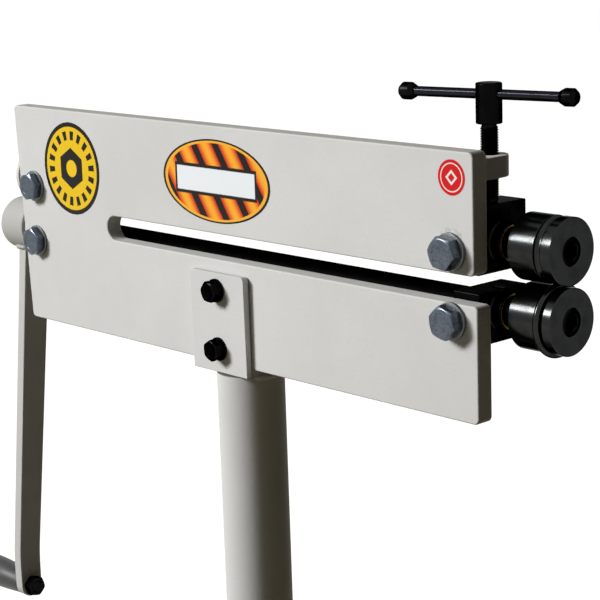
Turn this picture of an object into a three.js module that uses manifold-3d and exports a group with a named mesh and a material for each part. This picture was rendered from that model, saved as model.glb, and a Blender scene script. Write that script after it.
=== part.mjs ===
// Hand-cranked bead roller on a floor pedestal.
// Millimetres, +Z up. The origin is on the floor, on the axis of the stand post.
// +X runs along the throat towards the rollers, and the flat side of the frame plate faces -Y.

import * as THREE from 'three';
import { mergeVertices } from 'three/addons/utils/BufferGeometryUtils.js';
import Module from 'manifold-3d';

const wasm = await Module();
wasm.setup();

// Clearances
const seatGap = 0.1;          // between faces that bear on each other
const runningGap = 0.25;      // radial, between a shaft and its bush
const tiltGap = 0.4;          // radial, in the bush where the upper shaft also tilts
const slideGap = 0.3;         // between faces that slide on each other
const screwGap = 0.35;        // radial, between a screw and its hole

// Frame plate
const plateThickness = 15.9;
const plateLength = 604;      // along the top edge
const plateReach = 288;       // from the post axis to the free end of the upper arm
const plateSetback = 22;      // from the post axis to the front face
const plateCorner = 5;
const plateEdge = 1;          // rounding of the long edges
const rearSlant = 0.053;      // lean of the rear edge
const upperArmHeight = 94.7;
const lowerArmHeight = 93;
const lowerArmExtra = 3;      // the lower arm ends this much further out
const throatDepth = 460;
const throatGap = 22.7;
const throatHeight = 1000;    // floor to the lower edge of the throat

// Shafts
const shaftSpacing = 54;
const lowerAxisDrop = 11.5;   // lower shaft axis below the lower edge of the throat
const shaftSetback = 29.1;    // shaft axes behind the back face of the plate
const shaftDiameter = 27.5;
const journalDiameter = 25;
const seatDiameter = 22;      // under the rollers, gears and crank hub
const rollerShoulder = 16.2;   // free end of the upper arm to the back of the rollers

// Bearing blocks and bushes
const blockLength = 26.5;     // along the shafts
const blockBehindAxis = 27;
const blockInset = 10;        // from the free end of the upper arm
const blockSpan = 552;        // between the middles of the front and rear blocks
const lowerBlockBelow = 24.5;
const lowerBlockAbove = 17.2;
const upperBlockBelow = 22.8;
const frontBlockAbove = 30.3;
const rearBlockAbove = 24;
const blockEdge = 0.8;
const bossDiameter = 32;
const frontBossLength = 10;
const rearBossLength = 3.5;
const bushWall = 1.5;

// Block bolts
const blockBoltDiameter = 16;
const blockBoltFlats = 24;
const blockBoltHead = 10;
const rearBoltHead = 8;        // the rear bolts have flatter heads on thinner washers
const blockBoltDrop = 2.5;    // bolt axes below the shaft axes
const shankEdge = 1.2;         // chamfer at the tip of every threaded shank
const hexFaceShare = 0.94;     // round end face of a hexagon, over its flats
const hexTurnSlope = 0.58;     // slope at which its corners are turned off
const blockBoltWall = 1.4;    // between the tip of the bolt and the bush
const blockWasherDiameter = 30;
const blockWasherThickness = 3;
const rearWasherThickness = 2;
const screwPitch = 2;
const liftTurns = 3;          // turns of the adjusting screw above rest
const dropTurns = 1 / 3;      // and below it

// Rollers
const rollerLength = 41.5;
const rollerGap = 1.4;        // between the rollers at rest
const beadStation = 28.5;     // from the back of a roller to the middle of its bead
const beadRadius = 3;
const beadClearance = 0.5;    // groove radius over bead radius
const reliefWidth = 2.2;      // narrow relief in front of the raised bead
const reliefDepth = 1.6;
const rollerEdge = 0.8;
const rollerWeb = 5;
const rollerScrewDiameter = 14;
const rollerScrewHead = 21;
const rollerScrewLength = 27;
const rollerSocketFlats = 12;
const rollerSocketDepth = 8;
const rollerKeyWidth = 5;
const rollerKeyHeight = 3;
const rollerKeySink = 1.8;     // part of the key that lies in the shaft
const rollerKeyLength = 16;

// Gears
const toothCount = 18;
const gearWidth = 25;
const gearBossDiameter = 38;
const gearBackset = 17;       // rear face of the rear blocks to the toothed rim
const upperTeethWidth = 20.5; // behind its teeth the upper gear has a flange as large as the teeth
const lowerTeethWidth = 19.7; // and the lower gear a collar that clears the flange
const lowerCollarRadius = 23.4;
const pressureAngle = 20 * Math.PI / 180;
const toothThinning = 0.45;
const tipShortening = 0.4;
const gearKeyWidth = 6;
const gearKeyHeight = 6;
const gearKeyLength = 20;
const setScrewDiameter = 8;
const setScrewPoint = 1.5;     // chamfer at the tip
const setScrewEdge = 0.5;      // and at the driven end

// Crank
const hubDiameter = 53;
const hubLength = 38;
const hubGap = 0.5;           // between the lower gear and the hub
const hubEdge = 1.5;
const crankRadius = 406;
const armStation = 15.2;      // front face of the hub to the middle of the arm
const armTopWidth = 29.9;     // on the shaft axis
const armWidth = 25.5;        // on the spindle axis
const armThickness = 12;
const armLean = 8.6 * Math.PI / 180;
const armFoot = 34;           // upright length above the spindle
const spindleDiameter = 12;
const spindleHead = 19;
const spindleHeadLength = 6;
const spindleNutFlats = 19;
const spindleNutHeight = 10;
const gripLength = 112;
const gripDiameter = 32;
const gripWaist = 24;
const gripCollar = 4;          // length of the plain collar at each end
const gripCollarStep = 1;      // the collar's rim over its end face, and over the waist

// Adjusting screw and tee handle
const screwDiameter = 14;
const screwNeckDiameter = 11.8;
const screwNeckLength = 2.2;
const screwRise = 60.2;       // block top to the underside of the tee hub
const pilotDiameter = 10.4;
const pilotLength = 13;
const pilotGroove = 7;
const pilotGrooveTop = 5.3;   // below the block top
const pinDiameter = 4;
const teeHubDiameter = 20.6;
const teeHubHeight = 31.5;
const teeHubSocket = 12;      // depth of the neck in the hub
const teeHubEdge = 1.2;
const teeBarDrop = 9;         // bar axis below the top of the hub
const teeBarDiameter = 8;
const teeBarLength = 152;
const teeBarShift = 2;        // the bar rests this far towards -X
const teeBarTurn = 10.8 * Math.PI / 180;
const knobDiameter = 14;
const knobLength = 14;
const knobTaper = 4;
const knobWall = 2;           // solid end of the knob past the bar

// Nut lug behind the upper arm
const lugWidth = 29.5;
const lugThickness = 17;
const lugDrop = 7.9;          // below the top edge of the plate
const lugEdge = 1;

// Saddle and its bolts
const cheekWidth = 72;
const cheekOffset = -8;       // middle of the saddle from the post axis
const cheekThickness = 6;
const cheekHeight = 89.5;
const cheekCorner = 3.5;
const cheekGap = 0.4;         // front cheek to plate at the bottom
const cheekLean = 0.5 * Math.PI / 180;
const saddleThickness = 6.7;
const saddleDepth = 59.2;
const clampBoltDiameter = 10;
const clampBoltFlats = 17;
const clampBoltHead = 6.4;
const clampBoltHeights = [21.6, 74.2];  // above the underside of the saddle
const clampBoltTail = 2;      // past the back cheek
const clampWasherDiameter = 21;
const clampWasherThickness = 2;
const lockWasherDiameter = 18.4;
const lockWasherThickness = 2.2;
const lockWasherSlit = 1.2;

// Stand
const postDiameter = 60.3;
const postWall = 3.9;
const basePlateSize = 380;
const basePlateThickness = 10;
const basePlateCorner = 20;
const basePlateEdge = 1;
const anchorHole = 14;
const anchorInset = 32;
const gussetHeight = 130;
const gussetInset = 49.6;      // outer end of a gusset to the rim of the base plate
const gussetThickness = 8;
const gussetLand = 14;        // height of the outer end and width of the top
const gussetNotch = 8;        // corner cut that clears the weld round the post

// Facets
const shaftSides = 24;
const rollerSides = 28;
const smallSides = 12;
const postSides = 24;

// Derived levels and places
const plateFront = -plateSetback;
const plateBack = plateFront + plateThickness;
const shaftY = plateBack + shaftSetback;
const lowerAxis = throatHeight - lowerAxisDrop;
const upperAxis = lowerAxis + shaftSpacing;
const plateTop = throatHeight + throatGap + upperArmHeight;
const plateBottom = throatHeight - lowerArmHeight;
const frontBlockX = plateReach - blockInset - blockLength / 2;
const rearBlockX = frontBlockX - blockSpan;
const bushRadius = journalDiameter / 2 + runningGap + bushWall;
const journalRear = rearBlockX - blockLength / 2 - rearBossLength;
const rollerBack = plateReach + rollerShoulder;
const rollerRadius = (shaftSpacing - rollerGap) / 2;
const rollerRecess = rollerScrewDiameter;   // depth of the counterbore for the screw head
const rollerBore = rollerLength - rollerRecess - rollerWeb;
const rollerScrewTip = rollerBack + rollerBore + rollerWeb + seatGap - rollerScrewLength;
const gearFront = rearBlockX - blockLength / 2 - gearBackset;
const gearRear = gearFront - gearWidth;
const hubFront = gearRear - hubGap;
const hubRear = hubFront - hubLength;
const liftTravel = screwPitch * liftTurns;
const dropTravel = screwPitch * dropTurns;
const saddleBottom = plateBottom - seatGap - saddleThickness;
const upperBlockTop = upperAxis + frontBlockAbove;
const blockBoltTip = -bushRadius - blockBoltWall;   // from the shaft axis
const pinOffset = (pilotGroove + pinDiameter) / 2 + slideGap;
const pinLevel = upperBlockTop - pilotGrooveTop - pinDiameter / 2 - slideGap;

// Materials
const paint = { color: 0xcdccc4, roughness: 0.42, metalness: 0 };
const blackSteel = { color: 0x17181a, roughness: 0.45, metalness: 0.5 };
const polishedSteel = { color: 0x8d8f92, roughness: 0.22, metalness: 1 };
const zincSteel = { color: 0xa5acb6, roughness: 0.35, metalness: 1 };
const bronze = { color: 0x8a6a3a, roughness: 0.4, metalness: 1 };
const blackPlastic = { color: 0x141414, roughness: 0.5, metalness: 0 };

const machine = new THREE.Group();

// Adds one named piece to the machine.
function add(name, geometry, finish, x = 0, y = 0, z = 0) {
  const mesh = new THREE.Mesh(geometry, new THREE.MeshStandardMaterial(finish));
  mesh.name = name;
  mesh.position.set(x, y, z);
  machine.add(mesh);
  return mesh;
}

// Merges shared vertices, drops empty triangles and turns the faces outwards.
function closed(geometry) {
  geometry.deleteAttribute('normal');
  geometry.deleteAttribute('uv');
  const merged = mergeVertices(geometry, 1e-4);
  const position = merged.getAttribute('position');
  const index = merged.getIndex().array;
  const corners = [new THREE.Vector3(), new THREE.Vector3(), new THREE.Vector3()];
  const kept = [];
  let volume = 0;
  for (let i = 0; i < index.length; i += 3) {
    const [a, b, c] = [index[i], index[i + 1], index[i + 2]];
    if (a === b || b === c || c === a) {
      continue;
    }
    corners.forEach((corner, k) => corner.fromBufferAttribute(position, index[i + k]));
    volume += corners[0].dot(corners[1].clone().cross(corners[2]));
    kept.push(a, b, c);
  }
  merged.setIndex(volume > 0 ? kept : kept.reverse());
  return merged;
}

function solid(geometry) {
  const merged = closed(geometry);
  const vertProperties = new Float32Array(merged.getAttribute('position').array);
  const triVerts = new Uint32Array(merged.getIndex().array);
  return new wasm.Manifold(new wasm.Mesh({ numProp: 3, vertProperties, triVerts }));
}

function surface(body) {
  const mesh = body.getMesh();
  const geometry = new THREE.BufferGeometry();
  geometry.setAttribute('position', new THREE.BufferAttribute(mesh.vertProperties, 3));
  geometry.setIndex(new THREE.BufferAttribute(mesh.triVerts, 1));
  geometry.computeVertexNormals();
  return geometry;
}

// Joins some geometries and cuts others away from them.
function combine(base, joined = [], removed = []) {
  let body = solid(base);
  for (const geometry of joined) {
    body = body.add(solid(geometry));
  }
  for (const geometry of removed) {
    body = body.subtract(solid(geometry));
  }
  return surface(body);
}

function overlapOf(first, second) {
  return surface(solid(first).intersect(solid(second)));
}

function box(x0, x1, y0, y1, z0, z1) {
  const geometry = new THREE.BoxGeometry(x1 - x0, y1 - y0, z1 - z0);
  return geometry.translate((x0 + x1) / 2, (y0 + y1) / 2, (z0 + z1) / 2);
}

// Turns a list of [radius, station] pairs about an axis. The list starts and ends on the axis.
function turned(profile, sides, axis) {
  const points = profile.map(([radius, station]) => new THREE.Vector2(radius, station));
  return onAxis(closed(new THREE.LatheGeometry(points, sides)), axis);
}

// A ring turned from a [radius, station] list that closes on itself.
function turnedRing(profile, sides, axis) {
  return turned([...profile, profile[0]], sides, axis);
}

function onAxis(geometry, axis) {
  if (axis === 'x') {
    return geometry.rotateZ(-Math.PI / 2);
  }
  if (axis === 'z') {
    return geometry.rotateX(Math.PI / 2);
  }
  return geometry;
}

function rod(radius, from, to, sides, axis) {
  return turned([[0, from], [radius, from], [radius, to], [0, to]], sides, axis);
}

function chamferedRod(radius, from, to, edge, sides, axis) {
  return turned([
    [0, from], [radius - edge, from], [radius, from + edge],
    [radius, to - edge], [radius - edge, to], [0, to],
  ], sides, axis);
}

// A plain ring.
function ring(inner, outer, from, to, sides, axis) {
  return turnedRing([[inner, from], [outer, from], [outer, to], [inner, to]], sides, axis);
}

// A hexagonal prism whose corners are turned off at both ends when both is true, else at from.
function hexagon(flats, from, to, axis, both = false) {
  const cornerRadius = flats / Math.sqrt(3);
  const faceRadius = flats * hexFaceShare / 2;
  const turnDepth = (cornerRadius - faceRadius) * hexTurnSlope;
  const prism = new THREE.CylinderGeometry(cornerRadius, cornerRadius, to - from, 6);
  prism.translate(0, (from + to) / 2, 0);
  const farRadius = both ? faceRadius : cornerRadius + 1;
  const farTurn = both ? turnDepth : 0;
  const blank = turned([
    [0, from], [faceRadius, from], [cornerRadius + 1e-3, from + turnDepth],
    [cornerRadius + 1e-3, to - farTurn], [farRadius, to], [0, to],
  ], smallSides, 'y');
  return onAxis(overlapOf(prism, blank), axis);
}

// An outline through [x, y, radius] corners, with an arc at each.
function filleted(corners) {
  const shape = new THREE.Shape();
  const count = corners.length;
  corners.forEach(([x, y, radius], i) => {
    const here = new THREE.Vector2(x, y);
    const before = new THREE.Vector2(...corners[(i + count - 1) % count].slice(0, 2));
    const after = new THREE.Vector2(...corners[(i + 1) % count].slice(0, 2));
    const inward = before.sub(here).normalize();
    const outward = after.sub(here).normalize();
    const half = Math.acos(inward.dot(outward)) / 2;
    const middle = inward.clone().add(outward).normalize();
    const centre = here.clone().addScaledVector(middle, radius / Math.sin(half));
    const start = here.clone().addScaledVector(inward, radius / Math.tan(half)).sub(centre);
    const end = here.clone().addScaledVector(outward, radius / Math.tan(half)).sub(centre);
    const clockwise = inward.cross(outward) > 0;
    shape.absarc(centre.x, centre.y, radius, start.angle(), end.angle(), clockwise);
  });
  return shape;
}

// A flat plate cut to an outline, with its rim rounded by edge. It fills z from 0 to thickness.
function slab(shape, thickness, edge, curveSegments = 2) {
  const geometry = new THREE.ExtrudeGeometry(shape, {
    depth: thickness - 2 * edge,
    bevelEnabled: edge > 0,
    bevelThickness: edge,
    bevelSize: edge,
    bevelOffset: -edge,
    bevelSegments: 1,
    curveSegments,
  });
  return closed(geometry.translate(0, 0, edge));
}

// A slab that stands in the X-Z plane, with its front face at y = 0 and its back at +thickness.
function uprightSlab(shape, thickness, edge, curveSegments) {
  return slab(shape, thickness, edge, curveSegments).rotateX(Math.PI / 2).translate(0, thickness, 0);
}

// Frame plate

// Heights of the block bolts, and where the hole lets the block travel.
const blockBolts = [
  { x: frontBlockX, z: lowerAxis - blockBoltDrop, name: 'lower_front', up: 0, down: 0 },
  { x: rearBlockX, z: lowerAxis - blockBoltDrop, name: 'lower_rear', up: 0, down: 0 },
  { x: frontBlockX, z: upperAxis - blockBoltDrop, name: 'upper_front', up: liftTravel,
    down: dropTravel },
  { x: rearBlockX, z: upperAxis - blockBoltDrop, name: 'upper_rear', up: 0, down: 0 },
];

function plateOutline() {
  const rear = plateReach - plateLength;
  const fullHeight = upperArmHeight + throatGap + lowerArmHeight;
  const throatEnd = plateReach - throatDepth;
  const throatRound = throatGap / 2 - 0.01;
  return filleted([
    [plateReach + lowerArmExtra, plateBottom, plateCorner],
    [plateReach + lowerArmExtra, throatHeight, plateCorner],
    [throatEnd, throatHeight, throatRound],
    [throatEnd, throatHeight + throatGap, throatRound],
    [plateReach, throatHeight + throatGap, plateCorner],
    [plateReach, plateTop, plateCorner],
    [rear, plateTop, plateCorner],
    [rear + rearSlant * fullHeight, plateBottom, plateCorner],
  ]);
}

// A hole through the plate that lets its bolt travel up and down.
function boltSlot({ x, z, up, down }) {
  const radius = blockBoltDiameter / 2 + slideGap;
  const margin = slideGap / 2;
  const low = z - down - (down > 0 ? margin : 0);
  const high = z + up + (up > 0 ? margin : 0);
  const hole = (level) => rod(radius, -1, plateThickness + 1, smallSides, 'y').translate(x, 0, level);
  if (up + down === 0) {
    return [hole(z)];
  }
  const flats = radius * Math.cos(Math.PI / smallSides);
  return [hole(low), hole(high), box(x - flats, x + flats, -1, plateThickness + 1, low, high)];
}

function framePlate() {
  const blank = uprightSlab(plateOutline(), plateThickness, plateEdge, 3);
  const holes = blockBolts.flatMap(boltSlot);
  for (const height of clampBoltHeights) {
    const radius = clampBoltDiameter / 2 + screwGap + plateThickness * Math.tan(cheekLean);
    const z = saddleBottom + height;
    holes.push(rod(radius, -1, plateThickness + 1, smallSides, 'y').translate(cheekOffset, 0, z));
  }
  return combine(blank, [], holes);
}

add('frame_plate', framePlate(), paint, 0, plateFront, 0);

// Nut lug: a short thick plate, welded behind the upper arm, that carries the adjusting screw.

function nutLug() {
  const reach = shaftSetback;
  const outline = new THREE.Shape();
  outline.moveTo(-lugWidth / 2, -reach + seatGap);
  outline.lineTo(lugWidth / 2, -reach + seatGap);
  outline.lineTo(lugWidth / 2, 0);
  outline.absarc(0, 0, lugWidth / 2, 0, Math.PI, false);
  outline.closePath();
  const bore = rod(screwDiameter / 2 + screwGap, -1, lugThickness + 1, smallSides, 'z');
  return combine(slab(outline, lugThickness, lugEdge, 6), [], [bore]);
}

add('nut_lug', nutLug(), paint, frontBlockX, shaftY, plateTop - lugDrop - lugThickness);

// Bearing blocks

// One bearing block about its shaft axis. The boss points along side, which is 1 or -1.
function blockSolid({ below, above, side, bossLength, bushOuter, top = [] }) {
  const half = blockLength / 2;
  const nearFace = -shaftSetback + slideGap;
  const blank = chamferedBox(-half, half, nearFace, blockBehindAxis, -below, above, blockEdge);
  const boss = rod(bossDiameter / 2, 0, half + bossLength, shaftSides, 'x');
  const bore = rod(bushOuter, -half - 1, half + bossLength + 1, shaftSides, 'x');
  if (side < 0) {
    boss.rotateZ(Math.PI);
    bore.rotateZ(Math.PI);
  }
  const boltRadius = blockBoltDiameter / 2 + seatGap;
  const boltHole = rod(boltRadius, nearFace - 1, blockBoltTip + slideGap, smallSides, 'y');
  boltHole.translate(0, 0, -blockBoltDrop);
  return combine(blank, [boss], [bore, boltHole, ...top]);
}

// A box with all its edges chamfered.
function chamferedBox(x0, x1, y0, y1, z0, z1, edge) {
  const outline = new THREE.Shape([
    new THREE.Vector2(y0 + edge, z0), new THREE.Vector2(y1 - edge, z0),
    new THREE.Vector2(y1, z0 + edge), new THREE.Vector2(y1, z1 - edge),
    new THREE.Vector2(y1 - edge, z1), new THREE.Vector2(y0 + edge, z1),
    new THREE.Vector2(y0, z1 - edge), new THREE.Vector2(y0, z0 + edge),
  ]);
  const blank = slab(outline, x1 - x0, edge);
  const turn = new THREE.Matrix4().makeBasis(
    new THREE.Vector3(0, 1, 0), new THREE.Vector3(0, 0, 1), new THREE.Vector3(1, 0, 0));
  return blank.applyMatrix4(turn).translate(x0, 0, 0);
}

function bush(inner, from, to) {
  return ring(inner, bushRadius, from, to, shaftSides, 'x');
}

// Blind hole for the pilot of the adjusting screw, and the cross hole of its retaining pin.
function pilotHoles() {
  const top = frontBlockAbove;
  const bottom = top - pilotLength - slideGap;
  const pilot = rod(pilotDiameter / 2 + screwGap, bottom, top + 1, smallSides, 'z');
  const half = blockLength / 2;
  const pin = rod(pinDiameter / 2 + seatGap, -half - 1, half + 1, smallSides, 'x');
  return [pilot, pin.translate(0, pinOffset, pinLevel - upperAxis)];
}

const blockTypes = {
  lower_front: { x: frontBlockX, z: lowerAxis, below: lowerBlockBelow, above: lowerBlockAbove,
    side: 1, bossLength: frontBossLength, play: runningGap },
  lower_rear: { x: rearBlockX, z: lowerAxis, below: lowerBlockBelow, above: lowerBlockAbove,
    side: -1, bossLength: rearBossLength, play: runningGap },
  upper_front: { x: frontBlockX, z: upperAxis, below: upperBlockBelow, above: frontBlockAbove,
    side: 1, bossLength: frontBossLength, play: tiltGap },
  upper_rear: { x: rearBlockX, z: upperAxis, below: upperBlockBelow, above: rearBlockAbove,
    side: -1, bossLength: rearBossLength, play: runningGap },
};

for (const [name, block] of Object.entries(blockTypes)) {
  const top = name === 'upper_front' ? pilotHoles() : [];
  const shape = { ...block, bushOuter: bushRadius + seatGap, top };
  add(`${name}_block`, blockSolid(shape), blackSteel, block.x, shaftY, block.z);
  const half = blockLength / 2;
  const ends = [-half, half + block.bossLength].map((end) => end * block.side).sort((a, b) => a - b);
  const inner = journalDiameter / 2 + block.play;
  add(`${name}_bush`, bush(inner, ends[0], ends[1]), bronze, block.x, shaftY, block.z);
}

add('screw_retaining_pin',
  chamferedRod(pinDiameter / 2, -blockLength / 2, blockLength / 2, 0.4, smallSides, 'x'),
  blackSteel, frontBlockX, shaftY + pinOffset, pinLevel);

// Hexagon bolts and washers

// A bolt along +Y. The underside of its head is at y = 0.
function hexBolt(diameter, flats, head, length) {
  const shank = turned([
    [0, 0], [diameter / 2, 0], [diameter / 2, length - shankEdge],
    [diameter / 2 - shankEdge, length], [0, length],
  ], smallSides, 'y').translate(0, -0.01, 0);
  return combine(hexagon(flats, -head, 0, 'y'), [shank]);
}

const blockWasherBack = plateFront - seatGap;

for (const { x, z, name } of blockBolts) {
  const atRear = x === rearBlockX;
  const thickness = atRear ? rearWasherThickness : blockWasherThickness;
  const head = atRear ? rearBoltHead : blockBoltHead;
  const washerFront = blockWasherBack - thickness;
  const length = shaftY + blockBoltTip - washerFront;
  const washer = ring(blockBoltDiameter / 2 + seatGap, blockWasherDiameter / 2, 0, thickness,
    shaftSides, 'y');
  const bolt = hexBolt(blockBoltDiameter, blockBoltFlats, head, length);
  add(`${name}_washer`, washer, zincSteel, x, washerFront, z);
  add(`${name}_bolt`, bolt, zincSteel, x, washerFront - seatGap, z);
}

// Shafts

// A keyway along X, open at both ends, in the top of a shaft or bore.
function keyway(width, from, to, low, high) {
  const half = width / 2 + seatGap;
  return box(from, to, -half, half, low, high);
}

// One shaft, in machine stations along X and about its own axis.
function shaftSolid(rearEnd) {
  const main = shaftDiameter / 2;
  const journal = journalDiameter / 2;
  const seat = seatDiameter / 2;
  const half = blockLength / 2;
  const front = rollerBack + rollerBore - slideGap;
  const blank = turned([
    [0, rearEnd], [seat - 1, rearEnd], [seat, rearEnd + 1],
    [seat, journalRear], [journal, journalRear],
    [journal, rearBlockX + half + tiltGap], [main, rearBlockX + half + tiltGap],
    [main, frontBlockX - half - tiltGap], [journal, frontBlockX - half - tiltGap],
    [journal, rollerBack - seatGap], [seat, rollerBack - seatGap],
    [seat, front], [0, front],
  ], shaftSides, 'x');
  const tapped = rod(rollerScrewDiameter / 2 + seatGap, rollerScrewTip - 2, front + 1, smallSides, 'x');
  const rollerSlot = keyway(rollerKeyWidth, rollerBack + 1, front + 1, seat - rollerKeySink, seat + 1);
  const gearSlot = keyway(gearKeyWidth, rearEnd - 1, gearFront + 1, seat - gearKeyHeight / 2, seat + 1);
  return combine(blank, [], [tapped, rollerSlot, gearSlot]);
}

add('lower_shaft', shaftSolid(hubRear + 0.5), blackSteel, 0, shaftY, lowerAxis);
add('upper_shaft', shaftSolid(gearRear + 0.5), blackSteel, 0, shaftY, upperAxis);

// Rollers

// Half circle of the bead or groove, from its rear foot to its front foot.
function beadArc(radius, station, direction) {
  const steps = 5;
  return Array.from({ length: steps + 1 }, (_, i) => {
    const angle = Math.PI * i / steps;
    return [rollerRadius + direction * radius * Math.sin(angle), station - radius * Math.cos(angle)];
  });
}

// A roller with its bore, web and counterbore. rim lists its outer profile from back to front.
function rollerSolid(rim) {
  const bore = seatDiameter / 2 + seatGap;
  const throughHole = rollerScrewDiameter / 2 + screwGap;
  const recess = rollerScrewHead / 2 + screwGap;
  const webBack = rollerBore;
  const webFront = rollerBore + rollerWeb;
  const blank = turnedRing([
    [bore, 0], [rollerRadius - rollerEdge, 0], [rollerRadius, rollerEdge],
    ...rim,
    [rollerRadius, rollerLength - rollerEdge], [rollerRadius - rollerEdge, rollerLength],
    [recess, rollerLength], [recess, webFront], [throughHole, webFront],
    [throughHole, webBack], [bore, webBack],
  ], rollerSides, 'x');
  const slotTop = seatDiameter / 2 + rollerKeyHeight - rollerKeySink + seatGap;
  const slot = keyway(rollerKeyWidth, -1, rollerBore, 0, slotTop);
  return combine(blank, [], [slot]);
}

function maleRoller() {
  const reliefStart = beadStation + beadRadius;
  const reliefEnd = reliefStart + reliefWidth;
  return rollerSolid([
    ...beadArc(beadRadius, beadStation, 1).slice(0, -1),
    [rollerRadius - reliefDepth, reliefStart], [rollerRadius - reliefDepth, reliefEnd - 1],
    [rollerRadius, reliefEnd],
  ]);
}

function femaleRoller() {
  return rollerSolid(beadArc(beadRadius + beadClearance, beadStation, -1));
}

function rollerKey() {
  const half = rollerKeyWidth / 2;
  const low = seatDiameter / 2 - rollerKeySink + seatGap;
  return box(2, 2 + rollerKeyLength, -half, half, low, low + rollerKeyHeight - seatGap);
}

// Socket-head screw along X. The underside of its head is at x = 0 and its head points to +X.
function rollerScrew() {
  const head = rollerRecess - 2 * seatGap;
  const radius = rollerScrewHead / 2;
  const shank = rollerScrewDiameter / 2;
  const blank = turned([
    [0, -rollerScrewLength], [shank - shankEdge, -rollerScrewLength],
    [shank, shankEdge - rollerScrewLength],
    [shank, 0], [radius, 0], [radius, head - 0.8], [radius - 0.8, head], [0, head],
  ], smallSides, 'x');
  const socket = new THREE.CylinderGeometry(1, 1, rollerSocketDepth + 1, 6);
  socket.scale(rollerSocketFlats / Math.sqrt(3), 1, rollerSocketFlats / Math.sqrt(3));
  onAxis(socket, 'x').translate(head - rollerSocketDepth / 2 + 0.5, 0, 0);
  return combine(blank, [], [socket]);
}

const rollers = [['upper', upperAxis, femaleRoller()], ['lower', lowerAxis, maleRoller()]];

for (const [name, axis, roller] of rollers) {
  add(`${name}_roller`, roller, polishedSteel, rollerBack, shaftY, axis);
  add(`${name}_roller_key`, rollerKey(), blackSteel, rollerBack, shaftY, axis);
  const seat = rollerBack + rollerBore + rollerWeb + seatGap;
  add(`${name}_roller_screw`, rollerScrew(), blackSteel, seat, shaftY, axis);
}

// Gears

const gearModule = shaftSpacing / toothCount;
const pitchRadius = shaftSpacing / 2;
const tipRadius = pitchRadius + gearModule - tipShortening;

// Half the angle that a tooth fills at a radius, from the involute of the base circle.
function toothHalfAngle(radius) {
  const baseRadius = pitchRadius * Math.cos(pressureAngle);
  const involute = (angle) => Math.tan(angle) - angle;
  const atPitch = (Math.PI * gearModule / 2 - toothThinning) / (2 * pitchRadius);
  const here = Math.acos(Math.min(1, baseRadius / radius));
  return atPitch + involute(pressureAngle) - involute(here);
}

function gearOutline(phase) {
  const root = pitchRadius - 1.25 * gearModule;
  const base = pitchRadius * Math.cos(pressureAngle);
  const radii = [root, base, pitchRadius, tipRadius];
  const points = [];
  for (let tooth = 0; tooth < toothCount; tooth += 1) {
    const middle = phase + 2 * Math.PI * tooth / toothCount;
    const flank = radii.map((radius) => [radius, toothHalfAngle(radius)]);
    const rising = flank.map(([radius, half]) => [radius, middle - half]);
    const falling = flank.map(([radius, half]) => [radius, middle + half]).reverse();
    for (const [radius, angle] of [...rising, ...falling]) {
      points.push(new THREE.Vector2(radius * Math.cos(angle), radius * Math.sin(angle)));
    }
  }
  return new THREE.Shape(points);
}

// A gear with its boss towards the rear block. The toothed rim starts at x = 0 and runs to -teethWidth,
// and a plain collar takes up the rest of the width.
function gearSolid(phase, teethWidth, collarRadius) {
  const rim = slab(gearOutline(phase), teethWidth, 0).rotateY(-Math.PI / 2);
  const collar = rod(collarRadius, -gearWidth, 0.01 - teethWidth, rollerSides, 'x');
  const bossLength = journalRear - slideGap - gearFront;
  const boss = chamferedRod(gearBossDiameter / 2, -1, bossLength, 1, shaftSides, 'x');
  const bore = rod(seatDiameter / 2 + seatGap, -gearWidth - 1, bossLength + 1, shaftSides, 'x');
  const slotTop = seatDiameter / 2 + gearKeyHeight / 2 + seatGap;
  const slot = keyway(gearKeyWidth, -gearWidth - 1, 1, 0, slotTop);
  const screwHole = rod(setScrewDiameter / 2 + seatGap, 0, gearBossDiameter, smallSides, 'z');
  screwHole.translate(bossLength / 2, 0, 0);
  return combine(rim, [collar, boss], [bore, slot, screwHole]);
}

function squareKey(length) {
  const half = gearKeyWidth / 2;
  const low = seatDiameter / 2 - gearKeyHeight / 2 + seatGap;
  return box(-length / 2, length / 2, -half, half, low, low + gearKeyHeight - seatGap);
}

// A socket set screw that stands along Z, with its tip at z = 0.
function setScrew(length) {
  const radius = setScrewDiameter / 2;
  const blank = turned([
    [0, 0], [radius - setScrewPoint, 0], [radius, setScrewPoint],
    [radius, length - setScrewEdge], [radius - setScrewEdge, length], [0, length],
  ], smallSides, 'z');
  const socket = new THREE.CylinderGeometry(radius * 0.577, radius * 0.577, length * 0.8, 6);
  onAxis(socket, 'z').translate(0, 0, length);
  return combine(blank, [], [socket]);
}

const halfPitch = Math.PI / toothCount;

const gears = [
  ['upper', upperAxis, gearSolid(halfPitch, upperTeethWidth, tipRadius)],
  ['lower', lowerAxis, gearSolid(0, lowerTeethWidth, lowerCollarRadius)],
];

for (const [name, axis, gear] of gears) {
  add(`${name}_gear`, gear, paint, gearFront, shaftY, axis);
  const keyMiddle = gearFront - gearWidth / 2;
  add(`${name}_gear_key`, squareKey(gearKeyLength), blackSteel, keyMiddle, shaftY, axis);
  const bossMiddle = gearFront + (journalRear - slideGap - gearFront) / 2;
  const seat = axis + seatDiameter / 2 + seatGap;
  const length = (gearBossDiameter - seatDiameter) / 2 - 1;
  add(`${name}_gear_set_screw`, setScrew(length), blackSteel, bossMiddle, shaftY, seat);
}

// Crank

function crankHub() {
  const blank = chamferedRod(hubDiameter / 2, -hubLength / 2, hubLength / 2, hubEdge, rollerSides, 'x');
  const bore = rod(seatDiameter / 2 + seatGap, -hubLength, hubLength, shaftSides, 'x');
  const slotTop = seatDiameter / 2 + gearKeyHeight / 2 + seatGap;
  const slot = keyway(gearKeyWidth, -hubLength, hubLength, 0, slotTop);
  const screwHole = rod(setScrewDiameter / 2 + seatGap, 0, hubDiameter, smallSides, 'y');
  return combine(blank, [], [bore, slot, screwHole]);
}

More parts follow.
